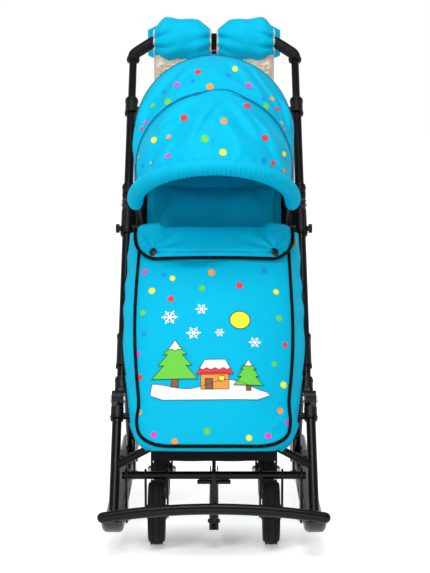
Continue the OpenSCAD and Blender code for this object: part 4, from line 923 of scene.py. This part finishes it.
FIR = mirrored([(0, 62), (8, 50), (20, 36), (12, 36), (28, 16), (18, 16), (38, -8)])
FIR_SNOW = [(0, 62), (8, 50), (13, 44), (6, 46), (0, 42), (-6, 46), (-13, 44), (-8, 50)]
TRUNK = [(-6, -8), (6, -8), (6, -22), (-6, -22)]
WALL, DOOR, PANE = block(-30, -30, 30, 8), block(-8, -30, 8, -6), block(-6, -6, 6, 6)
ROOF = [(-40, 4), (40, 4), (22, 38), (-22, 38)]
ROOF_SNOW = [(-33, 18), (-26, 14), (-18, 19), (-9, 14), (0, 19), (9, 14), (18, 19), (26, 14), (33, 18),
             (22, 38), (-22, 38)]
HILL_TOP = [(x, -8 + 9 * math.sin(x / 26) + 5 * math.cos(x / 47)) for x in range(-118, 119, 6)]
HILL = [(-122, -28)] + HILL_TOP + [(122, -28), (96, -38), (-96, -38)]
DISC = [(math.cos(2 * math.pi * k / 40), math.sin(2 * math.pi * k / 40)) for k in range(40)]
FLAKES = ((-84, 74, 17), (-18, 92, 13), (-34, 36, 15), (92, 14, 13), (20, 36, 10))
ARM_HALF, TWIG_AT, TWIG = 0.09, 0.62, 0.26


def flake(x, y, size):
    """A six-armed snowflake, as thin bars crossing at one point, with a twig across each arm."""
    bars = []
    corners = [(1, ARM_HALF), (-1, ARM_HALF), (-1, -ARM_HALF), (1, -ARM_HALF)]
    for k in range(3):
        turn = math.pi * k / 3
        along, across = (math.cos(turn), math.sin(turn)), (-math.sin(turn), math.cos(turn))
        bars.append([(a * along[0] + b * across[0], a * along[1] + b * across[1]) for a, b in corners])
        for sign in (1, -1):
            at_arm = (sign * TWIG_AT * along[0], sign * TWIG_AT * along[1])
            bars.append([(at_arm[0] + a * TWIG * across[0] + b * along[0],
                          at_arm[1] + a * TWIG * across[1] + b * along[1]) for a, b in corners])
    return [scaled(bar, size, x, y) for bar in bars]


LARGE, SMALL, HUT = (1.25, -72, -58), (0.8, 78, -76), (0.95, 10, -62)
DRAWN = [
    ("hill", scaled(HILL, 1.0, 0, -75), 0, "white"),
    ("trunk_large", scaled(TRUNK, *LARGE), 1, "brown"),
    ("fir_large", scaled(FIR, *LARGE), 2, "green"),
    ("fir_large_snow", scaled(FIR_SNOW, *LARGE), 3, "white"),
    ("trunk_small", scaled(TRUNK, *SMALL), 1, "brown"),
    ("fir_small", scaled(FIR, *SMALL), 2, "green"),
    ("fir_small_snow", scaled(FIR_SNOW, *SMALL), 3, "white"),
    ("hut_wall", scaled(WALL, *HUT), 1, "orange"),
    ("hut_roof", scaled(ROOF, *HUT), 2, "red"),
    ("hut_roof_snow", scaled(ROOF_SNOW, *HUT), 3, "white"),
    ("hut_door", scaled(DOOR, 0.95, -2, -62), 2, "brown"),
    ("hut_pane", scaled(PANE, 0.95, 24, -68), 2, "yellow"),
    ("moon", scaled(DISC, 21, 62, 66), 0, "yellow"),
]
drawn = []
for label, shape, layer, colour in DRAWN:
    drawn.append(fill_shape("print_" + label, shape, layer, PRINT[colour]))
    drawn.append(outline_of("print_line_" + label, shape, layer + 0.5, PRINT["black"]))
for spot in FLAKES:
    drawn += [fill_shape("print_flake", bar, 0, PRINT["white"]) for bar in flake(*spot)]
dress(join("apron_print", drawn), "chassis")

# A black zip down each side of the apron, and its pull
ZIP_S, ZIP_HIGH, ZIP_LOW, ZIP_R = 0.988, 0.86, 0.30, 2.2 * MM
PULL_PROFILE = [(0, 1.4), (5, 2.4), (14, 2.8), (16, 1.2)]
zip_t = np.linspace(ZIP_HIGH, ZIP_LOW, 60)
for side, label in SIDES:
    line = on_apron(zip_t, np.full(60, side * ZIP_S), 0.6 * MM)
    dress(tube("apron_zip_" + label, line, ZIP_R, DARK_CLOTH, sides=8, flatten=0.5), "chassis")
pull_at = on_apron(0.955, 0.935, 4.0 * MM)
pull = tube("zip_pull", [pull_at - LINE * down * MM for down, _ in PULL_PROFILE],
            [radius * MM for _, radius in PULL_PROFILE], BRASS, flatten=0.5)
dress(pull, "chassis")


# Seat: a cloth tub with bound wings, and two puffed pads

def at(y, z):
    """y and z of a point given in millimetres back from the nose bar and up from the floor."""
    return NOSE_Y + y * MM, z * MM


TUB_X, TUB_DEPTH, BINDING_R = 170 * MM, 3 * MM, 2.6 * MM
TUB_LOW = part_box("seat_tub")[0]
FLOOR_Z, FLOOR_END = TUB_LOW.z + 3 * MM, NOSE_Y + 506 * MM
WING_REAR = [at(228.75, 259), at(360, 259), at(505, 259), at(548, 358), at(588, 454)]
WING_FRONT = [at(228.75, 261), at(272, 294), at(340, 366), at(457, 490), at(588, 455)]
WING_ROWS, WING_COLS = 21, 49


def wing_grid(side):
    low, high = even_path(WING_REAR, WING_COLS), even_path(WING_FRONT, WING_COLS)
    p, q = crossed(np.linspace(0, 1, WING_ROWS), np.linspace(0, 1, WING_COLS))
    flat = low[None] * (1 - p[..., None]) + high[None] * p[..., None]
    fold = 1.2 * MM * np.sin(9 * q + 2.5 * p) * np.sin(math.pi * p)
    return np.concatenate([side * (TUB_X + fold)[..., None], flat], axis=-1)


def tub_floor_grid():
    x, y = crossed(np.linspace(-TUB_X, TUB_X, 41), np.linspace(TUB_LOW.y + 1 * MM, FLOOR_END, 31))
    dip = np.cos(math.pi * x / (2 * TUB_X)) * np.sin(math.pi * (y - y.min()) / (y.max() - y.min()))
    return np.stack([x, y, FLOOR_Z - 0.75 * MM * dip], axis=-1)


tub_grids = [wing_grid(-1), wing_grid(1), tub_floor_grid()]
tub_parts = [thicken(grid_object("tub_part", grid, SHADED_CYAN), TUB_DEPTH) for grid in tub_grids]
tub = join("seat_tub_cloth", tub_parts)
dress(tub, "chassis", "seat_tub")
for (side, label), grid in zip(SIDES, tub_grids):
    dress(tube("tub_binding_" + label, grid[-1], BINDING_R, PIPING, sides=8), "chassis")

PAD_SHY, PAD_EDGE, PAD_DRAW, CHANNEL = 4 * MM, 6 * MM, 5 * MM, 4 * MM
PAD_ROWS, PAD_COLS = 31, 25
PAD_VOXEL, PAD_PRESSURE, PAD_SWELL, PAD_FRAMES = 6 * MM, 4.0, 7 * MM, 18


def pad_form(name, length, half, depth):
    """A cushion in its own frame: x across, y along, z up from its flat back; a little under full size."""
    a, b = crossed(np.linspace(-1, 1, PAD_ROWS), np.linspace(-1, 1, PAD_COLS))
    crown = np.sqrt(np.maximum(0, 1 - np.abs(a) ** 3)) * np.sqrt(np.maximum(0, 1 - np.abs(b) ** 3))
    x = half * b - PAD_DRAW * np.sign(b) * (1 - a ** 2) * np.abs(b)
    y = length * (a + 1) / 2 - PAD_DRAW * np.sign(a) * (1 - b ** 2) * np.abs(a)
    top = np.stack([x, y, PAD_EDGE + (depth - PAD_EDGE) * crown], axis=-1)
    low = np.stack([x, y, np.zeros_like(x)], axis=-1)
    points = np.concatenate([top.reshape(-1, 3), low.reshape(-1, 3)])
    size = PAD_ROWS * PAD_COLS
    faces = grid_faces(PAD_ROWS, PAD_COLS)
    faces += [tuple(size + k for k in face[::-1]) for face in faces]
    number = np.arange(size).reshape(PAD_ROWS, PAD_COLS)
    edges = (number[0], number[1:, -1], number[-1, -2::-1], number[-2:0:-1, 0])
    rim = [int(k) for k in np.concatenate(edges)]
    faces += [(k, size + k, size + after, after) for k, after in zip(rim, rim[1:] + rim[:1])]
    return mesh_object(name, points, faces, SHADED_CYAN)


def puff(piece):
    """Swells a closed form as padded cloth: remeshed, blown up by simulation and held to a limit."""
    remesh = piece.modifiers.new("voxels", "REMESH")
    remesh.mode = "VOXEL"
    remesh.voxel_size = PAD_VOXEL
    settle(piece)
    before = points_of(piece)
    cloth = piece.modifiers.new("padding", "CLOTH")
    cloth.settings.quality = 4
    cloth.settings.use_pressure = True
    cloth.settings.uniform_pressure_force = PAD_PRESSURE
    cloth.settings.effector_weights.gravity = 0.0
    cloth.settings.tension_stiffness = 8
    cloth.settings.compression_stiffness = 8
    cloth.settings.bending_stiffness = 0.4
    cloth.point_cache.frame_start = 1
    cloth.point_cache.frame_end = PAD_FRAMES
    scene = bpy.context.scene
    for step in range(1, PAD_FRAMES + 1):
        scene.frame_set(step)
    after = points_of(piece.evaluated_get(bpy.context.evaluated_depsgraph_get()))
    piece.modifiers.clear()
    scene.frame_set(1)
    move = after - before
    size = np.linalg.norm(move, axis=1, keepdims=True)
    set_points(piece, before + move * np.minimum(1.0, PAD_SWELL / np.maximum(size, 1e-9)))


def pad(name, length, half, depth, folds, origin, along, outward):
    """A puffed cushion with a sewn middle channel, soft folds and a flat back, laid along its carrier."""
    run = length - 2 * PAD_SHY
    piece = pad_form(name, run, half - PAD_SHY, depth - PAD_SHY)
    puff(piece)
    points = points_of(piece)
    thick = depth + 2 * MM
    a, b = 2 * points[:, 1] / run - 1, points[:, 0] / half
    face = np.clip(points[:, 2] / (0.6 * thick), 0, 1)
    points[:, 2] -= face * CHANNEL * bell(b, 0, 0.035) * np.clip(1 - a ** 4, 0, 1)
    points[:, 2] += face * folds(a, b)
    points = np.clip(points, (-half, 0, 0), (half, run, thick))
    sideways = np.array([1.0, 0, 0])
    set_points(piece, origin + points[:, :1] * sideways + points[:, 1:2] * along + points[:, 2:3] * outward)
    for polygon in piece.data.polygons:
        polygon.use_smooth = True
    return piece


SEAT_LOW, SEAT_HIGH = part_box("seat_pad")
seat_pad = pad("seat_pad_cushion", SEAT_HIGH.y - SEAT_LOW.y, SEAT_HIGH.x, SEAT_HIGH.z - SEAT_LOW.z,
               lambda a, b: 0.8 * MM * np.sin(7 * a + 3 * b),
               np.array([0, SEAT_LOW.y + PAD_SHY, SEAT_LOW.z]), np.array([0, 1.0, 0]), np.array([0, 0, 1.0]))
dress(seat_pad, "chassis", "seat_pad")

HINGE = np.array(JOINTS["backrest_fold"]["pos_m"]) * np.array([0, 1, 1])
BACK_ANGLE = math.radians(68)
BACK_UP = np.array([0, math.cos(BACK_ANGLE), math.sin(BACK_ANGLE)])
BACK_OUT = np.array([0, -math.sin(BACK_ANGLE), math.cos(BACK_ANGLE)])
BACK_LOW, BACK_LENGTH, BACK_HALF = 26 * MM, 414 * MM, 152 * MM
BACK_BASE, BACK_DEPTH, BACK_HOLLOW = 6.3 * MM, 34 * MM, 3 * MM
BACK_CREASES = [(-0.94, 0.3, -0.5, 0.97), (-0.76, 0.3, -0.28, 0.94), (-0.5, 0.3, -0.1, 0.9),
                (0.94, 0.3, 0.46, 0.97), (0.74, 0.3, 0.3, 0.95), (0.52, 0.3, 0.14, 0.88)]


def back_folds(a, b):
    """Long folds that fan up the pad from its lower corners towards its middle."""
    return creases(a, b, BACK_CREASES, BACK_HALF, BACK_LENGTH / 2) - BACK_HOLLOW


back_pad = pad("backrest_cushion", BACK_LENGTH, BACK_HALF, BACK_DEPTH, back_folds,
               HINGE + BACK_UP * (BACK_LOW + PAD_SHY) + BACK_OUT * BACK_BASE, BACK_UP, BACK_OUT)
dress(back_pad, "backrest", "backrest_pad")

# Black cloth gussets stand along the sides of the backrest and widen downwards
STRIP_LOW, STRIP_HIGH, STRIP_NARROW, STRIP_WIDER = 230 * MM, 426 * MM, 3 * MM, 20 * MM
STRIP_TAPER, STRIP_OUT, STRIP_DEPTH = 80 * MM, 20 * MM, 2 * MM
d, w = crossed(np.linspace(STRIP_LOW, STRIP_HIGH, 40), np.linspace(0, 1, 9))
wide = STRIP_NARROW + STRIP_WIDER * np.clip((STRIP_HIGH - 2 * MM - d) / STRIP_TAPER, 0, 1)
flare = 1.0 * MM * np.sin(d / (19 * MM))
out = BACK_BASE + 2 * MM + STRIP_OUT * w ** 1.5
for side, label in SIDES:
    strip_points = HINGE + d[..., None] * BACK_UP + out[..., None] * BACK_OUT
    strip_points[..., 0] = side * (BACK_HALF + 1 * MM + wide * w + flare * w)
    strip = thicken(grid_object("backrest_strip_" + label, strip_points, DARK_CLOTH), STRIP_DEPTH)
    dress(strip, "backrest")

# Webbing tabs stand behind the upper tubes, between the canopy's pivots and its sides
TAB_IN, TAB_OUT, TAB_V, TAB_DEPTH = 168 * MM, 186 * MM, -14 * MM, 2 * MM
TAB_LOW_U, TAB_BEND_U, TAB_HIGH_U = 672 * MM, 735 * MM, 800 * MM
TAB_SLIM, TAB_TAPER = 5 * MM, 12 * MM
tab_u, tab_w = crossed(np.linspace(TAB_LOW_U, TAB_HIGH_U, 33), np.linspace(0, 1, 5))
tab_in = TAB_IN + TAB_SLIM * np.clip((tab_u - TAB_BEND_U) / TAB_TAPER, 0, 1)
for side, label in SIDES:
    tab_points = on_line(tab_u, TAB_V)
    tab_points[..., 0] = side * (tab_in + (TAB_OUT - tab_in) * tab_w)
    shoulder_tab = thicken(grid_object("shoulder_tab_" + label, tab_points, DARK_CLOTH), TAB_DEPTH)
    dress(shoulder_tab, "upper_frame")

# Foot sling: black cloth under the feet, seamed down the middle
SLING_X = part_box("foot_sling")[1].x
SLING_ROWS, SLING_COLS, SLING_DEPTH = 40, 61, 2.4 * MM
SLING_SAG, SLING_SEAM, SLING_RIPPLE = 2.2 * MM, 0.9 * MM, 0.7 * MM
SLING_ROUTE = [at(112, 206), at(110.5, 194), at(113, 183), at(122, 179), at(140, 187), at(165, 207),
               at(198, 231), at(245, 237)]
sling_x = np.linspace(-SLING_X + 1 * MM, SLING_X - 1 * MM, SLING_COLS)
sling_grid = np.zeros((SLING_ROWS, SLING_COLS, 3))
sling_grid[..., 0] = sling_x[None, :]
sling_grid[..., 1:] = smooth_path(SLING_ROUTE, SLING_ROWS)[:, None, :]
across = sling_x[None, :] / SLING_X
runs = np.sin(math.pi * np.linspace(0, 1, SLING_ROWS))[:, None]
sling_grid[..., 2] += ((SLING_RIPPLE * np.sin(9 * across + 2) - SLING_SAG * (1 - across ** 2)) * runs
                       + SLING_SEAM * bell(across, 0, 0.012))
sling = thicken(grid_object("foot_sling_cloth", sling_grid, DARK_CLOTH), SLING_DEPTH)
dress(sling, "chassis", "foot_sling")


# Hand muffs: padded sleeves gathered at both ends, lined and backed with fleece

STRAP_LOW, STRAP_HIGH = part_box("muff_strap")
BAR_Y, BAR_Z = (STRAP_LOW.y + STRAP_HIGH.y) / 2, STRAP_HIGH.z - 13 * MM
MUFF_IN, MUFF_END = 9.6 * MM, 143 * MM
SHOULDER_IN, SHOULDER_END = 30 * MM, 27 * MM
# Reach of the sleeve above, below and before the bar: at its gathered ends, and how much fuller in its middle
MUFF_TOP, MUFF_LOW, MUFF_DEEP = (23 * MM, 25 * MM), (41 * MM, 12 * MM), (27 * MM, 20 * MM)
MUFF_PLEAT, PLEAT_REACH, MUFF_DENT, MUFF_BACK = 13.0 * MM, 25 * MM, 3.0 * MM, 3 * MM
LINING_IN, TRIM_R = -12 * MM, 3.6 * MM
BEHIND_IN, BEHIND_TOP, BEHIND_FLARE, BEHIND_LOW, BEHIND_Y = 10 * MM, 20 * MM, 22 * MM, -110 * MM, 41 * MM
BEHIND_WIDE, BEHIND_NARROW, BEHIND_DEPTH = 161 * MM, 139 * MM, 1.6 * MM
FLEECE_WIDE, FLEECE_OFF, FLEECE_SWELL = 146 * MM, 6 * MM, 56 * MM
FLEECE_LUMP, FLEECE_DEPTH, FLEECE_TUCK = 8 * MM, 9 * MM, 5.0 * MM
FLEECE_DOWN, FLEECE_OVER = (0.36, 0.99), (0.02, 1.0)


def muff_full(x):
    """How full the muff is along the bar: 1 in its middle, 0 at its gathered ends."""
    inner = np.clip((x - MUFF_IN) / SHOULDER_IN, 0, 1)
    outer = np.clip((MUFF_END - x) / SHOULDER_END, 0, 1)
    return 1 - (1 - np.minimum(inner, outer)) ** 1.5


def muff_skin(side, x, turn, swell):
    """Points of the sleeve, swelled out by an amount: turn goes round the bar from the front over the top."""
    top, low, deep = [end + more * muff_full(x) + swell for end, more in (MUFF_TOP, MUFF_LOW, MUFF_DEEP)]
    low = low + 1.6 * MM * np.sin(x / (8 * MM))
    c, s = np.cos(turn), np.sin(turn)
    round_c = np.sign(c) * np.abs(c) ** 0.9
    round_s = np.sign(s) * np.abs(s) ** 0.85
    y = BAR_Y + MUFF_BACK - deep * round_c
    z = BAR_Z + np.where(s > 0, top, low) * round_s
    return np.stack([side * x, y, z], axis=-1)


def muff_pleats(x, turn):
    """Angular pleats that run in from the gathered ends, and broad soft dents."""
    reach = np.exp(-np.minimum(x - MUFF_IN, MUFF_END - x) / PLEAT_REACH)
    bend = turn + 0.7 * np.sin(2 * turn + 0.4) + 0.010 * (x - 0.076) / MM
    pleat = np.sqrt(np.sin(2.5 * bend + 0.5) ** 2 + 0.01) - 0.75
    broad = np.sin(2 * turn + x / (15 * MM)) * np.sin(x / (24 * MM) + 0.5)
    return MUFF_PLEAT * pleat * reach + MUFF_DENT * broad


def fleece_bumps(grid):
    """Curly lumps for fleece, from cells of noise."""
    lumps = [0.55 - noise.voronoi(Vector(p) / FLEECE_LUMP)[0][0] for p in grid.reshape(-1, 3)]
    return FLEECE_DEPTH * np.array(lumps).reshape(grid.shape[:2])


def muff_behind(side, down, over, wide_top, wide_low, forward):
    """Points of the muff's longer back, flared beside the bar and narrower below it."""
    narrow = np.clip((down - 0.46) / 0.14, 0, 1)
    wide = wide_top - (wide_top - wide_low) * narrow * narrow * (3 - 2 * narrow)
    px = BEHIND_IN + (wide - BEHIND_IN) * over
    top = BEHIND_TOP + BEHIND_FLARE * np.clip((px - 20 * MM) / (30 * MM), 0, 1)
    top -= 0.5 * np.maximum(0, px - 118 * MM)
    pz = top + (BEHIND_LOW - top) * down
    py = BEHIND_Y - forward + 4 * MM * np.sin(math.pi * down) + 1.5 * MM * np.sin(9 * over + 3 * down)
    return np.stack([side * px, BAR_Y + py, BAR_Z + pz], axis=-1)


def from_ends(values, ends):
    """Distance from the nearer of two ends."""
    return np.minimum(values - ends[0], ends[1] - values)


for side, label in SIDES:
    x, turn = crossed(np.linspace(MUFF_IN, MUFF_END, 72), np.linspace(0, 2 * math.pi, 128, endpoint=False))
    outer = muff_skin(side, x, turn, muff_pleats(x, turn))
    inner = muff_skin(side, x, turn, LINING_IN)
    parts = [grid_object("muff_sleeve_" + label, outer, CLOTH, wrap=True, flip=side > 0),
             grid_object("muff_lining_" + label, inner, PILE, wrap=True, flip=side < 0)]
    for end in (0, -1):
        rim = (outer[end] * 2 + inner[end]) / 3
        parts.append(tube("muff_trim_" + label, rim, TRIM_R, TRIM, sides=8, closed=True))
    muff = dress(join("muff_cloth_" + label, parts), "handle_upper", "muff_" + label)
    # The back of the muff is longer, cyan outside and fleece inside
    down, over = crossed(np.linspace(0, 1, 61), np.linspace(0, 1, 71))
    backing = muff_behind(side, down, over, BEHIND_WIDE, BEHIND_NARROW, 0.0)
    shell = thicken(grid_object("muff_back_" + label, backing, CLOTH, flip=side < 0), BEHIND_DEPTH)
    dress(shell, "handle_upper")
    down, over = crossed(np.linspace(*FLEECE_DOWN, 84), np.linspace(*FLEECE_OVER, 120))
    beside = np.clip(from_ends(over, FLEECE_OVER) / 0.1, 0, 1)
    swell = np.sqrt(np.clip((FLEECE_DOWN[1] - down) / 0.3, 0, 1) * beside)
    pile = muff_behind(side, down, over, FLEECE_WIDE, FLEECE_WIDE, FLEECE_OFF + FLEECE_SWELL * swell)
    rim = np.minimum(from_ends(down, FLEECE_DOWN), from_ends(over, FLEECE_OVER)) / 0.06
    rim = np.clip(rim, 0, 1) ** 0.5
    pile[..., 1] += FLEECE_TUCK * (1 - rim) - fleece_bumps(pile) * rim
    fleece = grid_object("muff_fleece_" + label, pile, PILE, flip=side > 0)
    dress(fleece, "handle_upper")

# The handle's corners slant into the muffs, with a thick grip on each
LEG_X, BAR_U, BOW_LOW_U = 193 * MM, 1250 * MM, 860 * MM
CORNER = [(LEG_X, 1198 * MM), (176 * MM, 1213 * MM), (150 * MM, 1236 * MM)]
BOW_R, GRIP_R, FLANGE_R, GRIP_SWELL, GRIP_SEAT = 9 * MM, 13 * MM, 15.5 * MM, 0.8 * MM, 10 * MM
GRIP_RINGS, FLANGE_RINGS = 60, 5


def along_handle(corners, count, side=1):
    """A rounded path in the handle's plane, from corners given as x and place along the frame line."""
    path = smooth_path(corners, count)
    points = on_line(path[:, 1], 0.0)
    points[:, 0] = side * path[:, 0]
    return points


half_bow = [(LEG_X, BOW_LOW_U), (LEG_X, 1166 * MM)] + CORNER + [(128 * MM, BAR_U), (60 * MM, BAR_U)]
bow_line = along_handle(half_bow + [(-x, u) for x, u in half_bow[::-1]], 260)
dress(tube("handle_bow_tube", bow_line, BOW_R, PAINT, sides=24), "handle_upper", "handle_bow")
half_grip = [(LEG_X, 1178 * MM)] + CORNER + [(134 * MM, 1247 * MM)]
ring = np.arange(GRIP_RINGS)
radius = np.where(ring < FLANGE_RINGS, FLANGE_R, GRIP_R + GRIP_SWELL * np.sin(math.pi * ring / GRIP_RINGS))
radius[[0, -1]] = GRIP_SEAT
grip_lines = [along_handle(half_grip, GRIP_RINGS, side) for side, _ in SIDES]
grips = join("handle_grips", [tube("grip_part", line, radius, RUBBER, sides=24) for line in grip_lines])
dress(grips, "handle_upper", "grips")

# The strap between the muffs: webbing round the bar with a hanging tab and its stitched end
STRAP_HALF, STRAP_R, LOOP_DEPTH, TAB_THICK = 7.2 * MM, 11.6 * MM, 2.0 * MM, 2.2 * MM
TAB_DROP, TAB_WAVE, STITCH_OFF = 46 * MM, 0.8 * MM, 13.2 * MM
STITCH_BOX = [(-5.5, 28), (5.5, 28), (5.5, 42), (-5.5, 42), (-5.5, 28)]
round_bar = np.linspace(0, 2 * math.pi, 40, endpoint=False)
web_x, web_turn = crossed(np.linspace(-STRAP_HALF, STRAP_HALF, 9), round_bar)
loop_grid = np.stack([web_x, BAR_Y - STRAP_R * np.cos(web_turn), BAR_Z + STRAP_R * np.sin(web_turn)], axis=-1)
loop = thicken(grid_object("strap_loop", loop_grid, DARK_CLOTH, wrap=True), LOOP_DEPTH)
web_x, drop = crossed(np.linspace(-STRAP_HALF, STRAP_HALF, 9), np.linspace(0, TAB_DROP, 24))
tab_grid = np.stack([web_x, BAR_Y - STRAP_R + TAB_WAVE * np.sin(drop * 120), BAR_Z - drop], axis=-1)
tab = thicken(grid_object("strap_tab", tab_grid, DARK_CLOTH), TAB_THICK)
box_line = [np.array([x * MM, BAR_Y - STITCH_OFF, BAR_Z - down * MM]) for x, down in STITCH_BOX]
stitch_line = [a + (b - a) * k / 6 for a, b in zip(box_line, box_line[1:]) for k in range(6)]
stitch = tube("strap_stitch", stitch_line, 0.4 * MM, TRIM, sides=5, closed=True)
dress(join("muff_strap_web", [loop, tab, stitch]), "handle_upper", "muff_strap")


# Finishes of the rigid pieces, which keep their solid shapes

TREAD_ZIGZAGS, TREAD_SLANT, TREAD_DEPTH, TREAD_BAND = 44, 160.0, 1.6 * MM, 7 * MM
RIM_OUT, RIM_IN = 19 * MM, 20 * MM


def wheel_finish(name, node):
    """Rubber tyre with a zigzag tread, on a plastic rim: told apart by the distance from the axle."""
    low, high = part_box(node)
    middle, outside = (low + high) / 2, (high.z - low.z) / 2
    made = finish(name, srgb(13, 13, 14), 0.66, 0.12, 40.0, specular=0.22)
    tree = made.node_tree
    link = tree.links.new
    shader = tree.nodes["Principled BSDF"]
    split = add_node(tree, "SeparateXYZ")
    place = next(n for n in tree.nodes if n.type == "TEX_COORD")
    link(place.outputs["Object"], split.inputs["Vector"])

    def sum_up(operation, first, second=0.0):
        step = add_node(tree, "Math", operation=operation)
        for socket, value in enumerate((first, second)):
            if hasattr(value, "links"):
                link(value, step.inputs[socket])
            else:
                step.inputs[socket].default_value = value
        return step.outputs["Value"]

    dy = sum_up("SUBTRACT", split.outputs["Y"], middle.y)
    dz = sum_up("SUBTRACT", split.outputs["Z"], middle.z)
    dx = sum_up("ABSOLUTE", sum_up("SUBTRACT", split.outputs["X"], middle.x))
    angle = sum_up("MULTIPLY", sum_up("ARCTAN2", dz, dy), TREAD_ZIGZAGS / math.pi)
    radius = sum_up("SQRT", sum_up("ADD", sum_up("MULTIPLY", dy, dy), sum_up("MULTIPLY", dz, dz)))
    zigzag = sum_up("PINGPONG", sum_up("ADD", angle, sum_up("MULTIPLY", dx, TREAD_SLANT)), 1.0)
    tread = sum_up("MULTIPLY", zigzag, sum_up("GREATER_THAN", radius, outside - TREAD_BAND))
    bump = add_node(tree, "Bump", {"Strength": 0.9, "Distance": TREAD_DEPTH})
    link(tread, bump.inputs["Height"])
    link(bump.outputs["Normal"], shader.inputs["Normal"])
    rim = add_node(tree, "MapRange", {"From Min": outside - RIM_IN, "From Max": outside - RIM_OUT,
                                      "To Min": 0.42, "To Max": 0.72})
    link(radius, rim.inputs["Value"])
    for old in list(shader.inputs["Roughness"].links):
        tree.links.remove(old)
    link(rim.outputs["Result"], shader.inputs["Roughness"])
    return made


FINISHES = {
    PAINT: ["runner_left", "runner_right", "nose_bar", "front_legs", "seat_front_bar", "seat_rails",
            "seat_rear_bar", "front_posts", "rear_posts", "footrest_tube", "upper_tubes", "leg_lugs",
            "backrest_bow", "rear_legs", "handle_tubes", "front_wheel_frame", "rear_wheel_frame",
            "wheel_link"],
    PLASTIC: ["runner_end_caps", "fold_sockets", "fold_tongues", "upper_heads", "tube_sleeves",
              "canopy_knobs", "canopy_rear_hoop", "canopy_mid_hoop", "canopy_front_hoop", "rear_shoes",
              "handle_feet", "collars", "latch_button_left", "latch_button_right"],
    SHADED_CYAN: ["backrest_board"],
    STEEL: ["post_bolts", "fold_pins", "flip_bolts", "front_axles", "rear_axles"],
}
for wheel in ("wheel_front_left", "wheel_front_right", "wheel_rear_left", "wheel_rear_right"):
    FINISHES[wheel_finish(wheel + "_finish", wheel)] = [wheel]
for material, names in FINISHES.items():
    for node in names:
        NODES[node].data.materials.clear()
        NODES[node].data.materials.append(material)


# Stage: pale floor, soft light and the photograph's camera

NEAR_GLOW, FAR_GLOW, NEAR_FLOOR, FAR_FLOOR = 0.22, 0.80, 0.3, 1.6
SHADE_AT, SHADE_HALF = (0.0, NOSE_Y + 0.13, 0.0), (0.20, 0.10)
FLOOR_HALF = 14
WHITE = (1.0, 1.0, 1.0, 1.0)
PALE = finish("pale_floor", (0.80, 0.80, 0.80, 1.0), 0.7, 0.0, specular=0.1)


def shade_floor(tree):
    """White where a ray sees the floor, dimmer in an ellipse under the stroller so that its shadow shows."""
    link = tree.links.new
    seen = add_node(tree, "LightPath")
    seen_by = seen.outputs["Is Camera Ray"]
    for ray in ("Is Glossy Ray", "Is Transmission Ray"):
        either = add_node(tree, "Math", operation="MAXIMUM")
        link(seen_by, either.inputs[0])
        link(seen.outputs[ray], either.inputs[1])
        seen_by = either.outputs["Value"]
    away = add_node(tree, "VectorMath", {1: SHADE_AT}, operation="SUBTRACT")
    per_half = (1 / SHADE_HALF[0], 1 / SHADE_HALF[1], 0.0)
    scale = add_node(tree, "VectorMath", {1: per_half}, operation="MULTIPLY")
    far = add_node(tree, "VectorMath", operation="LENGTH")
    whiten = add_node(tree, "MapRange", {"From Min": NEAR_FLOOR, "From Max": FAR_FLOOR, "To Min": NEAR_GLOW,
                                         "To Max": FAR_GLOW})
    glow = add_node(tree, "Math", operation="MULTIPLY")
    link(add_node(tree, "TexCoord").outputs["Object"], away.inputs[0])
    link(away.outputs["Vector"], scale.inputs[0])
    link(scale.outputs["Vector"], far.inputs[0])
    link(far.outputs["Value"], whiten.inputs["Value"])
    link(seen_by, glow.inputs[0])
    link(whiten.outputs["Result"], glow.inputs[1])
    shader = tree.nodes["Principled BSDF"]
    link(glow.outputs["Value"], shader.inputs["Emission Strength"])
    shader.inputs["Emission Color"].default_value = WHITE


shade_floor(PALE.node_tree)
corners = [(x, y, 0) for x, y in block(-FLOOR_HALF, -FLOOR_HALF, FLOOR_HALF, FLOOR_HALF)]
mesh_object("floor", corners, [(0, 1, 2, 3)], PALE, smooth=False)

# The studio is white round the horizon and dimmer overhead, so that the lamps give the cloth its shade
world = bpy.data.worlds.new("studio")
world.use_nodes = True
sky, wire = world.node_tree, world.node_tree.links.new
height = add_node(sky, "SeparateXYZ")
dome = add_node(sky, "MapRange", {"From Min": 0.06, "From Max": 0.4, "To Min": 1.0, "To Max": 0.34})
wire(add_node(sky, "TexCoord").outputs["Generated"], height.inputs["Vector"])
wire(height.outputs["Z"], dome.inputs["Value"])
wire(dome.outputs["Result"], sky.nodes["Background"].inputs["Strength"])
sky.nodes["Background"].inputs["Color"].default_value = WHITE
bpy.context.scene.world = world

# Lamps: place, aim, width and height in metres, and watts
LAMPS = {
    "key": ((-1.9, -2.3, 2.9), (0, 0, 0.6), (0.9, 0.9), 34),
    "front": ((0.3, -4.4, 1.1), (0, 0, 0.7), (2.4, 1.6), 25),
    "top": ((0.0, -1.0, 3.1), (0, 0, 0.6), (1.5, 1.1), 37),
}
for name, (place, aim, size, power) in LAMPS.items():
    light = bpy.data.lights.new(name, "AREA")
    light.shape = "RECTANGLE"
    light.size, light.size_y = size
    light.energy = power
    lamp = bpy.data.objects.new(name, light)
    lamp.location = place
    lamp.rotation_euler = (Vector(aim) - Vector(place)).to_track_quat("-Z", "Y").to_euler()
    bpy.context.scene.collection.objects.link(lamp)

camera_data = bpy.data.cameras.new("photo_camera")
camera_data.sensor_width = SENSOR
camera_data.sensor_fit = "AUTO"
camera_data.lens = FOCAL_PX * SENSOR / PHOTO_H
camera = bpy.data.objects.new("photo_camera", camera_data)
camera.location = CAMERA_AT
camera.rotation_euler = (math.pi / 2 - TILT, 0.0, 0.0)
bpy.context.scene.collection.objects.link(camera)
bpy.context.scene.camera = camera
bpy.context.scene.view_settings.view_transform = "Standard"
